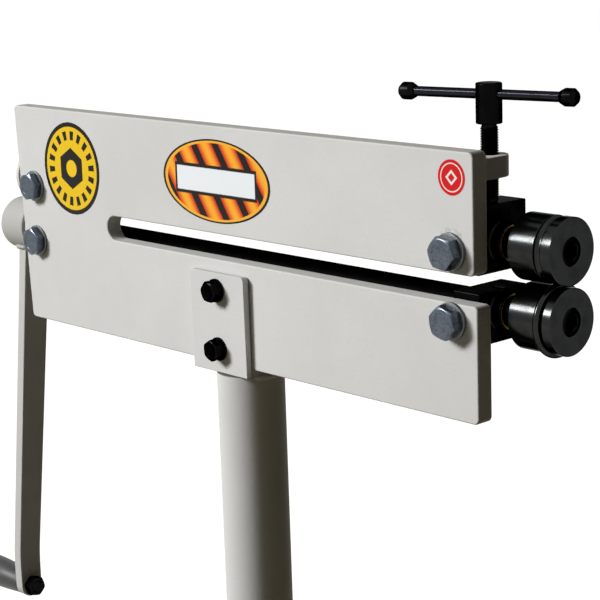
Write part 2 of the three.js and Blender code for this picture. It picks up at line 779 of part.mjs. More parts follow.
const hubX = (hubFront + hubRear) / 2;
const armX = hubFront - armStation;

add('crank_hub', crankHub(), paint, hubX, shaftY, lowerAxis);
add('crank_key', squareKey(hubLength - 3), blackSteel, hubX, shaftY, lowerAxis);

const hubScrew = setScrew((hubDiameter - seatDiameter) / 2 - 1);
hubScrew.rotateX(-Math.PI / 2);
add('crank_set_screw', hubScrew, blackSteel, hubX, shaftY + seatDiameter / 2 + seatGap, lowerAxis);

const leanDrop = crankRadius - armFoot;
const spindleShift = Math.tan(armLean) * leanDrop;

// The arm in its own frame: the shaft axis at x = 0, z = 0, and the spindle below at -crankRadius.
function crankArm() {
  const half = armThickness / 2;
  const lowerEnd = -crankRadius - armWidth / 2;
  const outerFace = -half - spindleShift;
  const innerFace = half - spindleShift;
  const side = new THREE.Shape([
    new THREE.Vector2(half, 0), new THREE.Vector2(-half, 0),
    new THREE.Vector2(outerFace, -leanDrop), new THREE.Vector2(outerFace, lowerEnd - 1),
    new THREE.Vector2(innerFace, lowerEnd - 1), new THREE.Vector2(innerFace, -leanDrop),
  ]);
  const bent = uprightSlab(side, 2 * armTopWidth, 0).translate(0, -armTopWidth, 0);
  const front = new THREE.Shape();
  front.moveTo(-armTopWidth / 2, 0);
  front.lineTo(-armWidth / 2, -crankRadius);
  front.absarc(0, -crankRadius, armWidth / 2, Math.PI, 2 * Math.PI, false);
  front.lineTo(armTopWidth / 2, 0);
  front.closePath();
  const reach = spindleShift + armThickness * 2;
  const face = slab(front, 2 * reach, 0, 6);
  const turn = new THREE.Matrix4().makeBasis(
    new THREE.Vector3(0, 1, 0), new THREE.Vector3(0, 0, 1), new THREE.Vector3(1, 0, 0));
  face.applyMatrix4(turn).translate(-reach, 0, 0);
  const hub = rod(hubDiameter / 2 + slideGap, -hubLength, hubLength, rollerSides, 'x');
  const hole = rod(spindleDiameter / 2 + seatGap, -reach, reach, smallSides, 'x');
  hole.translate(0, 0, -crankRadius);
  return combine(overlapOf(bent, face), [], [hub, hole]);
}

add('crank_arm', crankArm(), paint, armX, shaftY, lowerAxis);

// Spindle, nut and grip, along X. x = 0 is the outer face of the arm, and the grip is on the -X side.

const gripAxis = lowerAxis - crankRadius;
const armOuter = armX - spindleShift - armThickness / 2;

function spindle() {
  const radius = spindleDiameter / 2;
  const headStart = -gripLength - 2 * slideGap;
  const tail = armThickness + spindleNutHeight + 2;
  return turned([
    [0, headStart - spindleHeadLength], [spindleHead / 2 - 2, headStart - spindleHeadLength],
    [spindleHead / 2, headStart - spindleHeadLength + 2], [spindleHead / 2, headStart],
    [radius, headStart], [radius, tail - 1], [radius - 1, tail], [0, tail],
  ], smallSides, 'x');
}

function spindleNut() {
  const blank = hexagon(spindleNutFlats, 0, spindleNutHeight, 'x', true);
  const bore = rod(spindleDiameter / 2 + seatGap, -1, spindleNutHeight + 1, smallSides, 'x');
  return combine(blank, [], [bore]);
}

// Barrel-shaped grip with a collar at each end.
function grip() {
  const steps = 4;
  const bore = spindleDiameter / 2 + screwGap;
  const waist = gripWaist / 2;
  const swell = gripDiameter / 2 - waist;
  const rim = Array.from({ length: steps + 1 }, (_, i) => {
    const share = i / steps;
    const station = -gripCollar - share * (gripLength - 2 * gripCollar);
    return [waist + swell * Math.sin(Math.PI * (0.08 + 0.84 * share)), station];
  });
  const collar = waist + gripCollarStep;
  return turnedRing([
    [bore, 0], [waist - gripCollarStep, 0], [collar, -gripCollar / 2], ...rim,
    [collar, gripCollar / 2 - gripLength], [waist - gripCollarStep, -gripLength], [bore, -gripLength],
  ], shaftSides, 'x');
}

add('grip_spindle', spindle(), blackSteel, armOuter, shaftY, gripAxis);
add('spindle_nut', spindleNut(), blackSteel, armOuter + armThickness + seatGap, shaftY, gripAxis);
add('crank_grip', grip(), blackPlastic, armOuter - slideGap, shaftY, gripAxis);

// Adjusting screw and tee handle

// The screw along Z, with the top of the front block at z = 0.
function adjustingScrew() {
  const radius = screwDiameter / 2;
  const neck = screwNeckDiameter / 2;
  const pilot = pilotDiameter / 2;
  const groove = pilotGroove / 2;
  const grooveBottom = -pilotGrooveTop - pinDiameter - 2 * slideGap;
  return turned([
    [0, -pilotLength], [pilot - 1, -pilotLength], [pilot, 1 - pilotLength],
    [pilot, grooveBottom], [groove, grooveBottom], [groove, -pilotGrooveTop], [pilot, -pilotGrooveTop],
    [pilot, seatGap], [radius - 1, seatGap], [radius, 1 + seatGap],
    [radius, screwRise - screwNeckLength - 1], [neck, screwRise - screwNeckLength],
    [neck, screwRise + teeHubSocket], [0, screwRise + teeHubSocket],
  ], smallSides, 'z');
}

// The tee hub along Z, with its underside at z = 0 and its cross hole along X.
function teeHub() {
  const blank = chamferedRod(teeHubDiameter / 2, 0, teeHubHeight, teeHubEdge, shaftSides, 'z');
  const socket = rod(screwNeckDiameter / 2 + slideGap, -1, teeHubSocket + slideGap, smallSides, 'z');
  const cross = rod(teeBarDiameter / 2 + slideGap, -teeHubDiameter, teeHubDiameter, smallSides, 'x');
  cross.translate(0, 0, teeHubHeight - teeBarDrop);
  return combine(blank, [], [socket, cross]);
}

// One knob, along +X from its tapered inner end at x = 0.
function knob() {
  const radius = knobDiameter / 2;
  const inner = teeBarDiameter / 2 + seatGap;
  const depth = knobLength - knobWall;
  return turned([
    [0, depth], [inner, depth], [inner, 0], [inner + 0.8, 0], [radius, knobTaper],
    [radius, knobLength - knobTaper + 1], [radius - knobTaper + 1, knobLength], [0, knobLength],
  ], smallSides, 'x');
}

add('adjusting_screw', adjustingScrew(), blackSteel, frontBlockX, shaftY, upperBlockTop);

const tee = new THREE.Group();
tee.position.set(frontBlockX, shaftY, upperBlockTop + screwRise);
tee.rotation.z = teeBarTurn;
machine.add(tee);

const knobInner = teeBarLength / 2 + seatGap + knobWall - knobLength;
const barLevel = teeHubHeight - teeBarDrop;
const bar = chamferedRod(teeBarDiameter / 2, -teeBarLength / 2, teeBarLength / 2, 0.5, smallSides, 'x');
tee.add(add('tee_hub', teeHub(), blackSteel));
tee.add(add('tee_bar', bar, blackSteel, -teeBarShift, 0, barLevel));
tee.add(add('tee_knob_right', knob(), blackSteel, knobInner - teeBarShift, 0, barLevel));
tee.add(add('tee_knob_left', knob().rotateZ(Math.PI), blackSteel, -knobInner - teeBarShift, 0, barLevel));

// Saddle that clamps the lower arm on the post

// A cheek standing on z = 0, with its front face at y = 0, about the middle of the saddle.
function cheek(height, holeRadius, heights) {
  const half = cheekWidth / 2;
  const outline = filleted([
    [half, 0, 1], [half, height, cheekCorner], [-half, height, cheekCorner], [-half, 0, 1],
  ]);
  const holes = heights.map((level) => {
    const hole = rod(holeRadius, -1, cheekThickness + 1, smallSides, 'y');
    return hole.translate(0, 0, level);
  });
  return combine(uprightSlab(outline, cheekThickness, 0.6), [], holes);
}

const cheekBack = plateFront - cheekGap;
const clampHole = clampBoltDiameter / 2 + screwGap;
const clampGroup = new THREE.Group();
clampGroup.position.set(cheekOffset, cheekBack, saddleBottom);
clampGroup.rotation.x = cheekLean;
machine.add(clampGroup);
clampGroup.add(add('saddle_front_cheek', cheek(cheekHeight, clampHole, clampBoltHeights), paint,
  0, -cheekThickness, 0));

// Flat ring washer, and a lock washer that is slit on one side.
function clampWasher() {
  return ring(clampHole, clampWasherDiameter / 2, 0, clampWasherThickness, smallSides, 'y');
}

function lockWasher() {
  const blank = ring(clampHole - 0.1, lockWasherDiameter / 2, 0, lockWasherThickness, smallSides, 'y');
  const reach = lockWasherDiameter;
  const slit = box(0, reach, -1, lockWasherThickness + 1, -lockWasherSlit / 2, lockWasherSlit / 2);
  return combine(blank, [], [slit.rotateY(-Math.PI / 3)]);
}

const backCheekFront = plateBack + seatGap;
const backCheekBack = backCheekFront + cheekThickness;
const flatFront = -cheekThickness - seatGap - clampWasherThickness;
const lockFront = flatFront - seatGap - lockWasherThickness;
const clampLength = backCheekBack + clampBoltTail - cheekBack - lockFront + seatGap;

clampBoltHeights.forEach((height, i) => {
  const level = ['lower', 'upper'][i];
  const bolt = hexBolt(clampBoltDiameter, clampBoltFlats, clampBoltHead, clampLength);
  const stack = [
    ['clamp_washer', clampWasher(), flatFront],
    ['clamp_lock_washer', lockWasher(), lockFront],
    ['clamp_bolt', bolt, lockFront - seatGap],
  ];
  for (const [name, geometry, y] of stack) {
    clampGroup.add(add(`${name}_${level}`, geometry, blackSteel, 0, y, height));
  }
});

const backCheekRise = saddleThickness + seatGap;
const backCheek = cheek(cheekHeight - backCheekRise,
  clampHole + (backCheekBack - cheekBack) * Math.tan(cheekLean) + seatGap,
  clampBoltHeights.map((height) => height - backCheekRise));
add('saddle_back_cheek', backCheek, paint, cheekOffset, backCheekFront, saddleBottom + backCheekRise);

function saddlePlate() {
  const half = cheekWidth / 2;
  const depth = saddleDepth - cheekThickness;
  const outline = filleted([
    [-half, 0, 1], [half, 0, 1], [half, depth, 4], [-half, depth, 4],
  ]);
  return slab(outline, saddleThickness, 0.5);
}

add('saddle_base_plate', saddlePlate(), paint, cheekOffset, cheekBack + seatGap, saddleBottom);

// Stand

const postBottom = basePlateThickness + seatGap;
const postLength = saddleBottom - slideGap - postBottom;
const postTube = ring(postDiameter / 2 - postWall, postDiameter / 2, 0, postLength, postSides, 'z');
add('stand_post', postTube, paint, 0, 0, postBottom);

function basePlate() {
  const half = basePlateSize / 2;
  const hole = half - anchorInset;
  const outline = filleted([
    [half, -half, basePlateCorner], [half, half, basePlateCorner],
    [-half, half, basePlateCorner], [-half, -half, basePlateCorner],
  ]);
  const holes = [[hole, hole], [-hole, hole], [-hole, -hole], [hole, -hole]].map(([x, y]) =>
    rod(anchorHole / 2, -1, basePlateThickness + 1, smallSides, 'z').translate(x, y, 0));
  return combine(slab(outline, basePlateThickness, basePlateEdge), [], holes);
}

add('stand_base_plate', basePlate(), paint);

// A triangular gusset that leans on the post and stands on the base plate, towards +X.
function gusset() {
  const start = postDiameter / 2 + slideGap;
  const end = basePlateSize / 2 - gussetInset;
  const outline = new THREE.Shape([
    new THREE.Vector2(start + gussetNotch, 0), new THREE.Vector2(end, 0),
    new THREE.Vector2(end, gussetLand),
    new THREE.Vector2(start + gussetLand, gussetHeight),
    new THREE.Vector2(start, gussetHeight), new THREE.Vector2(start, gussetNotch),
  ]);
  return uprightSlab(outline, gussetThickness, 0.6).translate(0, -gussetThickness / 2, 0);
}

['right', 'back', 'left', 'front'].forEach((side, i) => {
  const piece = add(`gusset_${side}`, gusset(), paint, 0, 0, basePlateThickness + seatGap);
  piece.rotation.z = i * Math.PI / 2;
});

export default machine;
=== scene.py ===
import math
from collections import namedtuple

import bmesh
import bpy
from mathutils import Matrix, Vector, noise


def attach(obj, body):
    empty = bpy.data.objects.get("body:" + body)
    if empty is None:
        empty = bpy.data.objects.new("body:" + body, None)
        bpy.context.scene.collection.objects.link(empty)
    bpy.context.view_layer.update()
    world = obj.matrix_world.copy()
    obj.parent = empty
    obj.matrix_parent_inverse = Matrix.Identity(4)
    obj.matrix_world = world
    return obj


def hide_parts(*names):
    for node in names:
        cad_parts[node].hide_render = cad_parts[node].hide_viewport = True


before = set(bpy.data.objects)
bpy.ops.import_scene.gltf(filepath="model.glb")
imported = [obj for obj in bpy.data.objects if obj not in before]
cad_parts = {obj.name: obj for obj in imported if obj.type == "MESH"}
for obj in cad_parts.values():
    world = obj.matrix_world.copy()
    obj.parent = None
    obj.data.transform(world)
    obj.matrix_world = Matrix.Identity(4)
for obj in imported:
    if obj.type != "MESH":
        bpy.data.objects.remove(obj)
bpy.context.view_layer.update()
scene = bpy.context.scene

# Lengths are in millimetres up to raw(), which turns them into metres.
MM = 0.001

# Frame plate
PLATE_FRONT = -22.0
PLATE_BACK = -6.1
PLATE_REACH = 288.0
PLATE_REAR = -316.0
PLATE_TOP = 1117.4
PLATE_BOTTOM = 907.0
LOWER_REACH = 291.0
THROAT_LOW = 1000.0
THROAT_HIGH = 1022.7
THROAT_END = -172.0
REAR_SLANT = 0.053
CLEAR = 0.1  # between pieces that seat on each other

# Shafts, blocks and rollers
SHAFT_Y = 23.0
LOWER_AXIS = 988.5
UPPER_AXIS = 1042.5
FRONT_BLOCK = 264.75
REAR_BLOCK = -287.25
BLOCK_HALF = 13.25
BOLT_DROP = 2.5
JOURNAL_REAR = -304.0
SHAFT_RADIUS = 13.75
JOURNAL_RADIUS = 12.5
SEAT_RADIUS = 11.0  # of the shafts under the rollers, gears and hub
SEAT_BORE = 11.1
BUSH_RADIUS = 14.25
GEAR_KEYWAY = 3.1  # half widths
ROLLER_KEYWAY = 2.6
SET_SCREW_HOLE = 4.1
ROLLER_BACK = 304.2
ROLLER_LENGTH = 41.5
ROLLER_BORE = 22.5
ROLLER_RADIUS = 26.3
GEAR_FRONT = -317.5
GEAR_REAR = -342.5
HUB_X = -362.0
ARM_X = -358.2
CRANK_RADIUS = 406.0
ARM_LEAN = math.radians(8.6)
ARM_FOOT = 34.0
SPINDLE_SHIFT = math.tan(ARM_LEAN) * (CRANK_RADIUS - ARM_FOOT)
ARM_OUTER = ARM_X - SPINDLE_SHIFT - 6.0
GRIP_AXIS = LOWER_AXIS - CRANK_RADIUS
GRIP_LENGTH = 112.0
BLOCK_TOP = 1072.8
SCREW_RISE = 60.2
TEE_FOOT = BLOCK_TOP + SCREW_RISE
TEE_TURN = math.radians(10.8)

# Saddle and stand
SADDLE_X = -8.0
SADDLE_BOTTOM = 900.2
CHEEK_GAP = 0.4
CHEEK_BACK = PLATE_FRONT - CHEEK_GAP
CHEEK_LEAN = math.radians(0.5)
CHEEK_HALF = 36.0
CHEEK_HEIGHT = 89.5
CHEEK_THICK = 6.0
CLAMP_LEVELS = (21.6, 74.2)
POST_RADIUS = 30.15

# The four bearing blocks. below and above reach from the shaft's axis, side tells which way the
# boss points, bore is the radius of the bush's bore and turn that of the bolt's hexagon.
Bearing = namedtuple("Bearing", "body x axis below above side boss bore turn")
BEARINGS = {
    "lower_front": Bearing("frame", FRONT_BLOCK, LOWER_AXIS, 24.5, 17.2, 1, 10.0, 12.75, 0.28),
    "lower_rear": Bearing("frame", REAR_BLOCK, LOWER_AXIS, 24.5, 17.2, -1, 3.5, 12.75, 0.62),
    "upper_front": Bearing("front_carrier", FRONT_BLOCK, UPPER_AXIS, 22.8, 30.3, 1, 10.0, 12.9,
                           0.15),
    "upper_rear": Bearing("rear_carrier", REAR_BLOCK, UPPER_AXIS, 22.8, 24.0, -1, 3.5, 12.75,
                          0.85),
}
SHAFTS = (("lower", "crank", LOWER_AXIS), ("upper", "upper_drive", UPPER_AXIS))


# Outlines

def fillet(points, radius=0.0, steps=5, closed=True):
    """Rounds the corners of a 2-D outline. A point may carry its own radius as a third number."""
    out = []
    count = len(points)
    for i, point in enumerate(points):
        here = Vector(point[:2])
        own = point[2] if len(point) > 2 else radius
        if own <= 0 or (not closed and i in (0, count - 1)):
            out.append(here)
            continue
        back = Vector(points[i - 1][:2]) - here
        ahead = Vector(points[(i + 1) % count][:2]) - here
        room = min(back.length, ahead.length) * 0.4999
        back.normalize()
        ahead.normalize()
        half = back.angle(ahead) / 2
        if half > 1.55:
            out.append(here)
            continue
        own = min(own, room * math.tan(half))
        centre = here + (back + ahead).normalized() * (own / math.sin(half))
        start = here + back * (own / math.tan(half)) - centre
        end = here + ahead * (own / math.tan(half)) - centre
        first = math.atan2(start.y, start.x)
        sweep = math.remainder(math.atan2(end.y, end.x) - first, 2 * math.pi)
        for k in range(steps + 1):
            angle = first + sweep * k / steps
            out.append(centre + Vector((math.cos(angle), math.sin(angle))) * own)
    return out


def arc(x, y, radius, start, end, steps):
    """Points of an arc, its angles in degrees."""
    angles = [math.radians(start + (end - start) * k / steps) for k in range(steps + 1)]
    return [Vector((x + radius * math.cos(a), y + radius * math.sin(a))) for a in angles]


def circle(count):
    """Angles evenly round a circle."""
    return [2 * math.pi * k / count for k in range(count)]


def polar(radius, angle):
    return radius * math.cos(angle), radius * math.sin(angle)


def inset(outline, depth):
    """Moves a closed outline inwards by depth."""
    count = len(outline)
    area = sum(outline[i - 1].cross(outline[i]) for i in range(count))
    side = 1 if area > 0 else -1
    moved = []
    for i, here in enumerate(outline):
        a = (here - outline[i - 1]).normalized()
        b = (outline[(i + 1) % count] - here).normalized()
        normal = Vector((-a.y - b.y, a.x + b.x)) * side
        length = normal.length
        normal.normalize()
        moved.append(here + normal * (depth / max(0.35, length / 2)))
    return moved


def distinct(outline):
    return [p for i, p in enumerate(outline) if (p - outline[i - 1]).length > 1e-4]


# Solids in bmesh

PLANES = {
    "xy": lambda u, v, w: (u, v, w),
    "xz": lambda u, v, w: (u, w, v),
    "yz": lambda u, v, w: (w, u, v),
}


def loft(rows, closed=False):
    """A skin over rows of points. Its ends are filled, or joined to each other if closed."""
    bm = bmesh.new()
    rows = [[bm.verts.new(p) for p in row] for row in rows]
    if closed:
        rows.append(rows[0])
    for a, b in zip(rows, rows[1:]):
        for i in range(len(a)):
            bm.faces.new((a[i - 1], a[i], b[i], b[i - 1]))
    if not closed:
        bm.faces.new(rows[0])
        bm.faces.new(rows[-1])
    return bm


def prism(outline, low, high, edge=0.0, steps=3, plane="xy"):
    """Fills an outline from low to high along the third axis, with its rims rounded by edge."""
    outline = distinct(outline)
    levels = [(0.0, low), (0.0, high)]
    if edge > 0:
        turns = [math.pi / 2 * k / steps for k in range(steps + 1)]
        near = [(edge * (1 - math.sin(t)), low + edge * (1 - math.cos(t))) for t in turns]
        levels = near + [(depth, low + high - level) for depth, level in reversed(near)]
    rows = []
    for depth, level in levels:
        flat = inset(outline, depth) if depth > 0 else outline
        rows.append([PLANES[plane](p.x, p.y, level) for p in flat])
    return loft(rows)


def lathe(profile, sides, closed=False):
    """Turns (radius, station) pairs about Z."""
    bm = bmesh.new()
    rows = []
    for radius, station in profile:
        angles = circle(sides) if radius > 1e-5 else [0.0]
        rows.append([bm.verts.new((*polar(radius, a), station)) for a in angles])
    pairs = list(zip(rows, rows[1:])) + ([(rows[-1], rows[0])] if closed else [])
    for a, b in pairs:
        for k in range(sides):
            ring = [a[k % len(a)], a[(k + 1) % len(a)], b[(k + 1) % len(b)], b[k % len(b)]]
            ring = list(dict.fromkeys(ring))
            if len(ring) > 2:
                bm.faces.new(ring)
    return bm


def shaft(steps, sides=64, arcs=3):
    """A solid of revolution from axis to axis. A step's third number rounds its corner."""
    return lathe(fillet(steps, 0, arcs, closed=False), sides)


def tube_ring(inner, outer, low, high, sides=64, edge=0.3):
    """A plain ring along Z."""
    profile = [(inner, low), (outer, low), (outer, high), (inner, high)]
    return lathe(fillet(profile, edge, 3), sides, closed=True)


def moved(bm, matrix):
    bm.transform(matrix)
    return bm


def placed(bm, axis="z", x=0.0, y=0.0, z=0.0, turn=0.0):
    """Turns a solid made along Z onto another axis and moves it to its place."""
    quarter = math.pi / 2
    angle, about = {"z": (0, "Z"), "x": (quarter, "Y"), "-x": (-quarter, "Y"),
                    "y": (-quarter, "X"), "-y": (quarter, "X")}[axis]
    return moved(bm, Matrix.Translation((x, y, z)) @ Matrix.Rotation(angle, 4, about)
                 @ Matrix.Rotation(turn, 4, "Z"))


def on_shaft(bm, axis, x=0.0, side=1):
    """Puts a solid made along Z onto a shaft's axis, pointing to the front or the rear."""
    return placed(bm, "x" if side > 0 else "-x", x, SHAFT_Y, axis)


def merged(*parts):
    """One bmesh that holds several."""
    whole = parts[0]
    for part in parts[1:]:
        mesh = bpy.data.meshes.new("joined")
        part.to_mesh(mesh)
        part.free()
        whole.from_mesh(mesh)
        bpy.data.meshes.remove(mesh)
    return whole


def block(x0, x1, y0, y1, z0, z1, edge, steps=3, corner=None):
    """A box along X, its corners rounded by corner or else by edge."""
    outline = [(y0, z0), (y1, z0), (y1, z1), (y0, z1)]
    radius = edge if corner is None else corner
    return prism(fillet(outline, radius, 4), x0, x1, edge * 0.98, steps, "yz")


def keyway(x0, x1, half, axis, low, high):
    """Cuts a keyway between two heights above a shaft's axis."""
    return block(x0, x1, SHAFT_Y - half, SHAFT_Y + half, axis + low, axis + high, 0.05, 1)


def hexagon(flats, sides=72):
    """(angle, radius) pairs round a hexagon."""
    return [(angle, flats / 2 / math.cos(math.remainder(angle - math.pi / 6, math.pi / 3)))
            for angle in circle(sides)]


def hex_head(flats, height, dish=0.0, both=False, bore=0.0):
    """A hexagon head along Z on z = 0 whose corners are turned off at 30 degrees.

    dish sinks the middle of its face, both turns off both ends as on a nut, and bore is a hole.
    """
    flat = flats * 0.475
    foot = flat * 0.97
    slope = math.tan(math.radians(30))

    def profile(r):
        """(radius, level) pairs up the head, where the hexagon has the radius r."""
        drop = max(0.0, r - flat) * slope
        line = [(flat, 0.0), (r, drop)] if both else [(foot, 0.0), (foot, 0.35), (r - 0.15, 0.35),
                                                      (r, 0.55)]
        line += [(r, height - drop - 0.18), (r - 0.12, height - drop), (flat, height - 0.1),
                 (flat - 0.5, height)]
        if dish > 0:
            line += [(flat * 0.70, height - 0.02), (flat * 0.665, height - dish)]
        if bore > 0:
            line = [(bore, 0.5), (bore + 0.6, 0.0), *line, (bore + 0.6, height),
                    (bore, height - 0.5)]
        return line

    lines = [[(*polar(radius, angle), level) for radius, level in profile(r)]
             for angle, r in hexagon(flats)]
    return loft(list(zip(*lines)), closed=bore > 0)


def threaded(radius, pitch, low, high, sides=40, samples=8):
    """A threaded rod along Z, its ends closed."""
    depth = 0.61 * pitch
    flat, flank = 0.12, 0.38  # shares of the pitch
    count = max(2, round((high - low) / pitch * samples))

    def thread(phase):
        phase %= 1.0
        if phase < flat:
            return 0.0
        if phase < 0.5:
            return (phase - flat) / flank
        return 1.0 if phase < 0.5 + flat else (1.0 - phase) / flank

    rows = []
    for k in range(count + 1):
        level = low + (high - low) * k / count
        fade = min(1.0, (level - low) / pitch + 0.2, (high - level) / pitch + 0.2)
        row = []
        for i in range(sides):
            share = i / sides
            height = thread(level / pitch - share) * fade + (1 - fade) * 0.3
            row.append((*polar(radius - depth * (1 - height), 2 * math.pi * share), level))
        rows.append(row)
    return loft(rows)


def bead(path, radius, seed, pitch, closed):
    """A weld bead along a 3-D path: overlapping ripples, slightly uneven."""
    path = [Vector(p) for p in path]
    if closed:
        path = path + [path[0]]
    lengths = [(b - a).length for a, b in zip(path, path[1:])]
    total = sum(lengths)
    count = max(6, round(total / (pitch / 4)))
    stations = []
    for k in range(count if closed else count + 1):
        at = total * k / count
        i = 0
        while i < len(lengths) - 1 and at > lengths[i]:
            at -= lengths[i]
            i += 1
        stations.append(path[i].lerp(path[i + 1], min(1.0, at / lengths[i])))
    bm = bmesh.new()
    rows = []
    sides = 10
    for k, here in enumerate(stations):
        ahead = stations[(k + 1) % len(stations)] if closed else stations[min(k + 1, count)]
        behind = stations[k - 1] if closed or k > 0 else here
        along = (ahead - behind).normalized()
        side = along.orthogonal().normalized()
        up = along.cross(side)
        share = (total * k / count / pitch) % 1.0
        wobble = noise.noise(here * 0.23 + Vector((seed, 0, 0)))
        size = radius * (0.9 + 0.13 * math.sin(math.pi * share) + 0.14 * wobble)
        if not closed:
            taper = min(k, count - k) / 4
            size *= min(1.0, 0.35 + 0.65 * taper)
        drift = side * (0.1 * radius * noise.noise(here * 0.31 + Vector((0, seed, 0))))
        rows.append([bm.verts.new(here + drift + (side * math.cos(a) + up * math.sin(a)) * size)
                     for a in circle(sides)])
    pairs = list(zip(rows, rows[1:])) + ([(rows[-1], rows[0])] if closed else [])
    for a, b in pairs:
        shift = 0
        if b is rows[0]:
            shift = min(range(sides), key=lambda s: (a[0].co - b[s].co).length)
        for i in range(sides):
            bm.faces.new((a[i], a[(i + 1) % sides], b[(i + 1 + shift) % sides],
                          b[(i + shift) % sides]))
    if not closed:
        bm.faces.new(rows[0])
        bm.faces.new(rows[-1])
    return bm


# Materials

def linear(red, green, blue):
    """An sRGB colour of 0 to 255 as a linear one."""
    def channel(value):
        value /= 255
        return value / 12.92 if value <= 0.04045 else ((value + 0.055) / 1.055) ** 2.4
    return (channel(red), channel(green), channel(blue), 1.0)


def link(tree, socket, value):
    """Gives an input a value, or the output that it takes its value from."""
    if isinstance(value, bpy.types.NodeSocket):
        tree.links.new(value, socket)
    else:
        socket.default_value = value


def add_node(tree, kind, inputs=None, **settings):
    made = tree.nodes.new("ShaderNode" + kind)
    for key, value in settings.items():
        setattr(made, key, value)
    for key, value in (inputs or {}).items():
        link(tree, made.inputs[key], value)
    return made


class Finish:
    """A material, with short calls for its nodes."""

    def __init__(self, name, colour, roughness, metallic=0.0, specular=0.5, edge=1.0):
        self.material = bpy.data.materials.new(name)
        self.material.use_nodes = True
        self.material.diffuse_color = colour
        self.tree = self.material.node_tree
        self.shader = self.tree.nodes["Principled BSDF"]
        for key, value in {"Base Color": colour, "Roughness": roughness, "Metallic": metallic,
                           "Specular IOR Level": specular,
                           "Specular Tint": (edge, edge, edge, 1.0)}.items():
            self.shader.inputs[key].default_value = value
        self.coordinates = self.node("TexCoord").outputs["Object"]

    def node(self, kind, inputs=None, **settings):
        return add_node(self.tree, kind, inputs, **settings)

    def stretched(self, scale):
        return self.node("VectorMath", {0: self.coordinates, 1: scale},
                         operation="MULTIPLY").outputs[0]

    def noise(self, scale, detail=3.0, rough=0.5, stretch=(1, 1, 1)):
        made = self.node("TexNoise", {"Vector": self.stretched(stretch), "Scale": scale,
                                      "Detail": detail, "Roughness": rough})
        return made.outputs["Fac"]

    def cells(self, scale):
        made = self.node("TexVoronoi", {"Vector": self.stretched((1, 1, 1)), "Scale": scale},
                         feature="F1")
        return made.outputs["Distance"]

    def math(self, operation, first, second=0.0):
        return self.node("Math", {0: first, 1: second}, operation=operation).outputs[0]

    def times(self, first, second):
        return self.math("MULTIPLY", first, second)

    def absolute(self, value):
        return self.math("ABSOLUTE", value)

    def band(self, value, low, high, to_low=0.0, to_high=1.0):
        """Maps value from low..high onto to_low..to_high, held at the ends."""
        made = self.node("MapRange", {"Value": value, "From Min": low, "From Max": high,
                                      "To Min": to_low, "To Max": to_high})
        return made.outputs["Result"]

    def under(self, value, low, high):
        """1 below low, 0 above high."""
        return self.band(value, low, high, 1.0, 0.0)

    def mix(self, share, first, second):
        return self.node("Mix", {0: share, 6: first, 7: second}, data_type="RGBA").outputs[2]

    def finish(self, colour, rough, *layers):
        """Sets the colour, the roughness if any, and (height, distance in metres) relief."""
        inputs = self.shader.inputs
        link(self.tree, inputs["Base Color"], colour)
        if rough is not None:
            link(self.tree, inputs["Roughness"], rough)
        normal = None
        for height, distance in layers:
            relief = {"Height": height, "Distance": distance, "Strength": 1.0}
            if normal is not None:
                relief["Normal"] = normal
            normal = self.node("Bump", relief).outputs["Normal"]
        link(self.tree, inputs["Normal"], normal)
        return self.material

    def level(self):
        """Height above the floor, in metres."""
        return self.node("SeparateXYZ", {0: self.coordinates}).outputs[2]

    def facing(self, axis):
        """How far a face looks along an axis, 0 to 1, either way."""
        normal = self.node("NewGeometry").outputs["Normal"]
        parts = self.node("SeparateXYZ", {0: normal})
        return self.absolute(parts.outputs["XYZ".index(axis)])

    def offset(self, x, z):
        """How far a point lies from a place in the X-Z plane, in metres along X and along Z."""
        parts = self.node("SeparateXYZ", {0: self.coordinates}).outputs
        return self.math("SUBTRACT", parts[0], x * MM), self.math("SUBTRACT", parts[2], z * MM)

    def length(self, u, v):
        return self.math("SQRT", self.math("ADD", self.times(u, u), self.times(v, v)))

    def printed(self, tint, value, low, high, colour, soft=0.25):
        """Prints a colour where value, in metres, lies between low and high millimetres."""
        rise = self.band(value, (low - soft) * MM, (low + soft) * MM)
        fall = self.under(value, (high - soft) * MM, (high + soft) * MM)
        return self.mix(self.times(rise, fall), tint, colour)


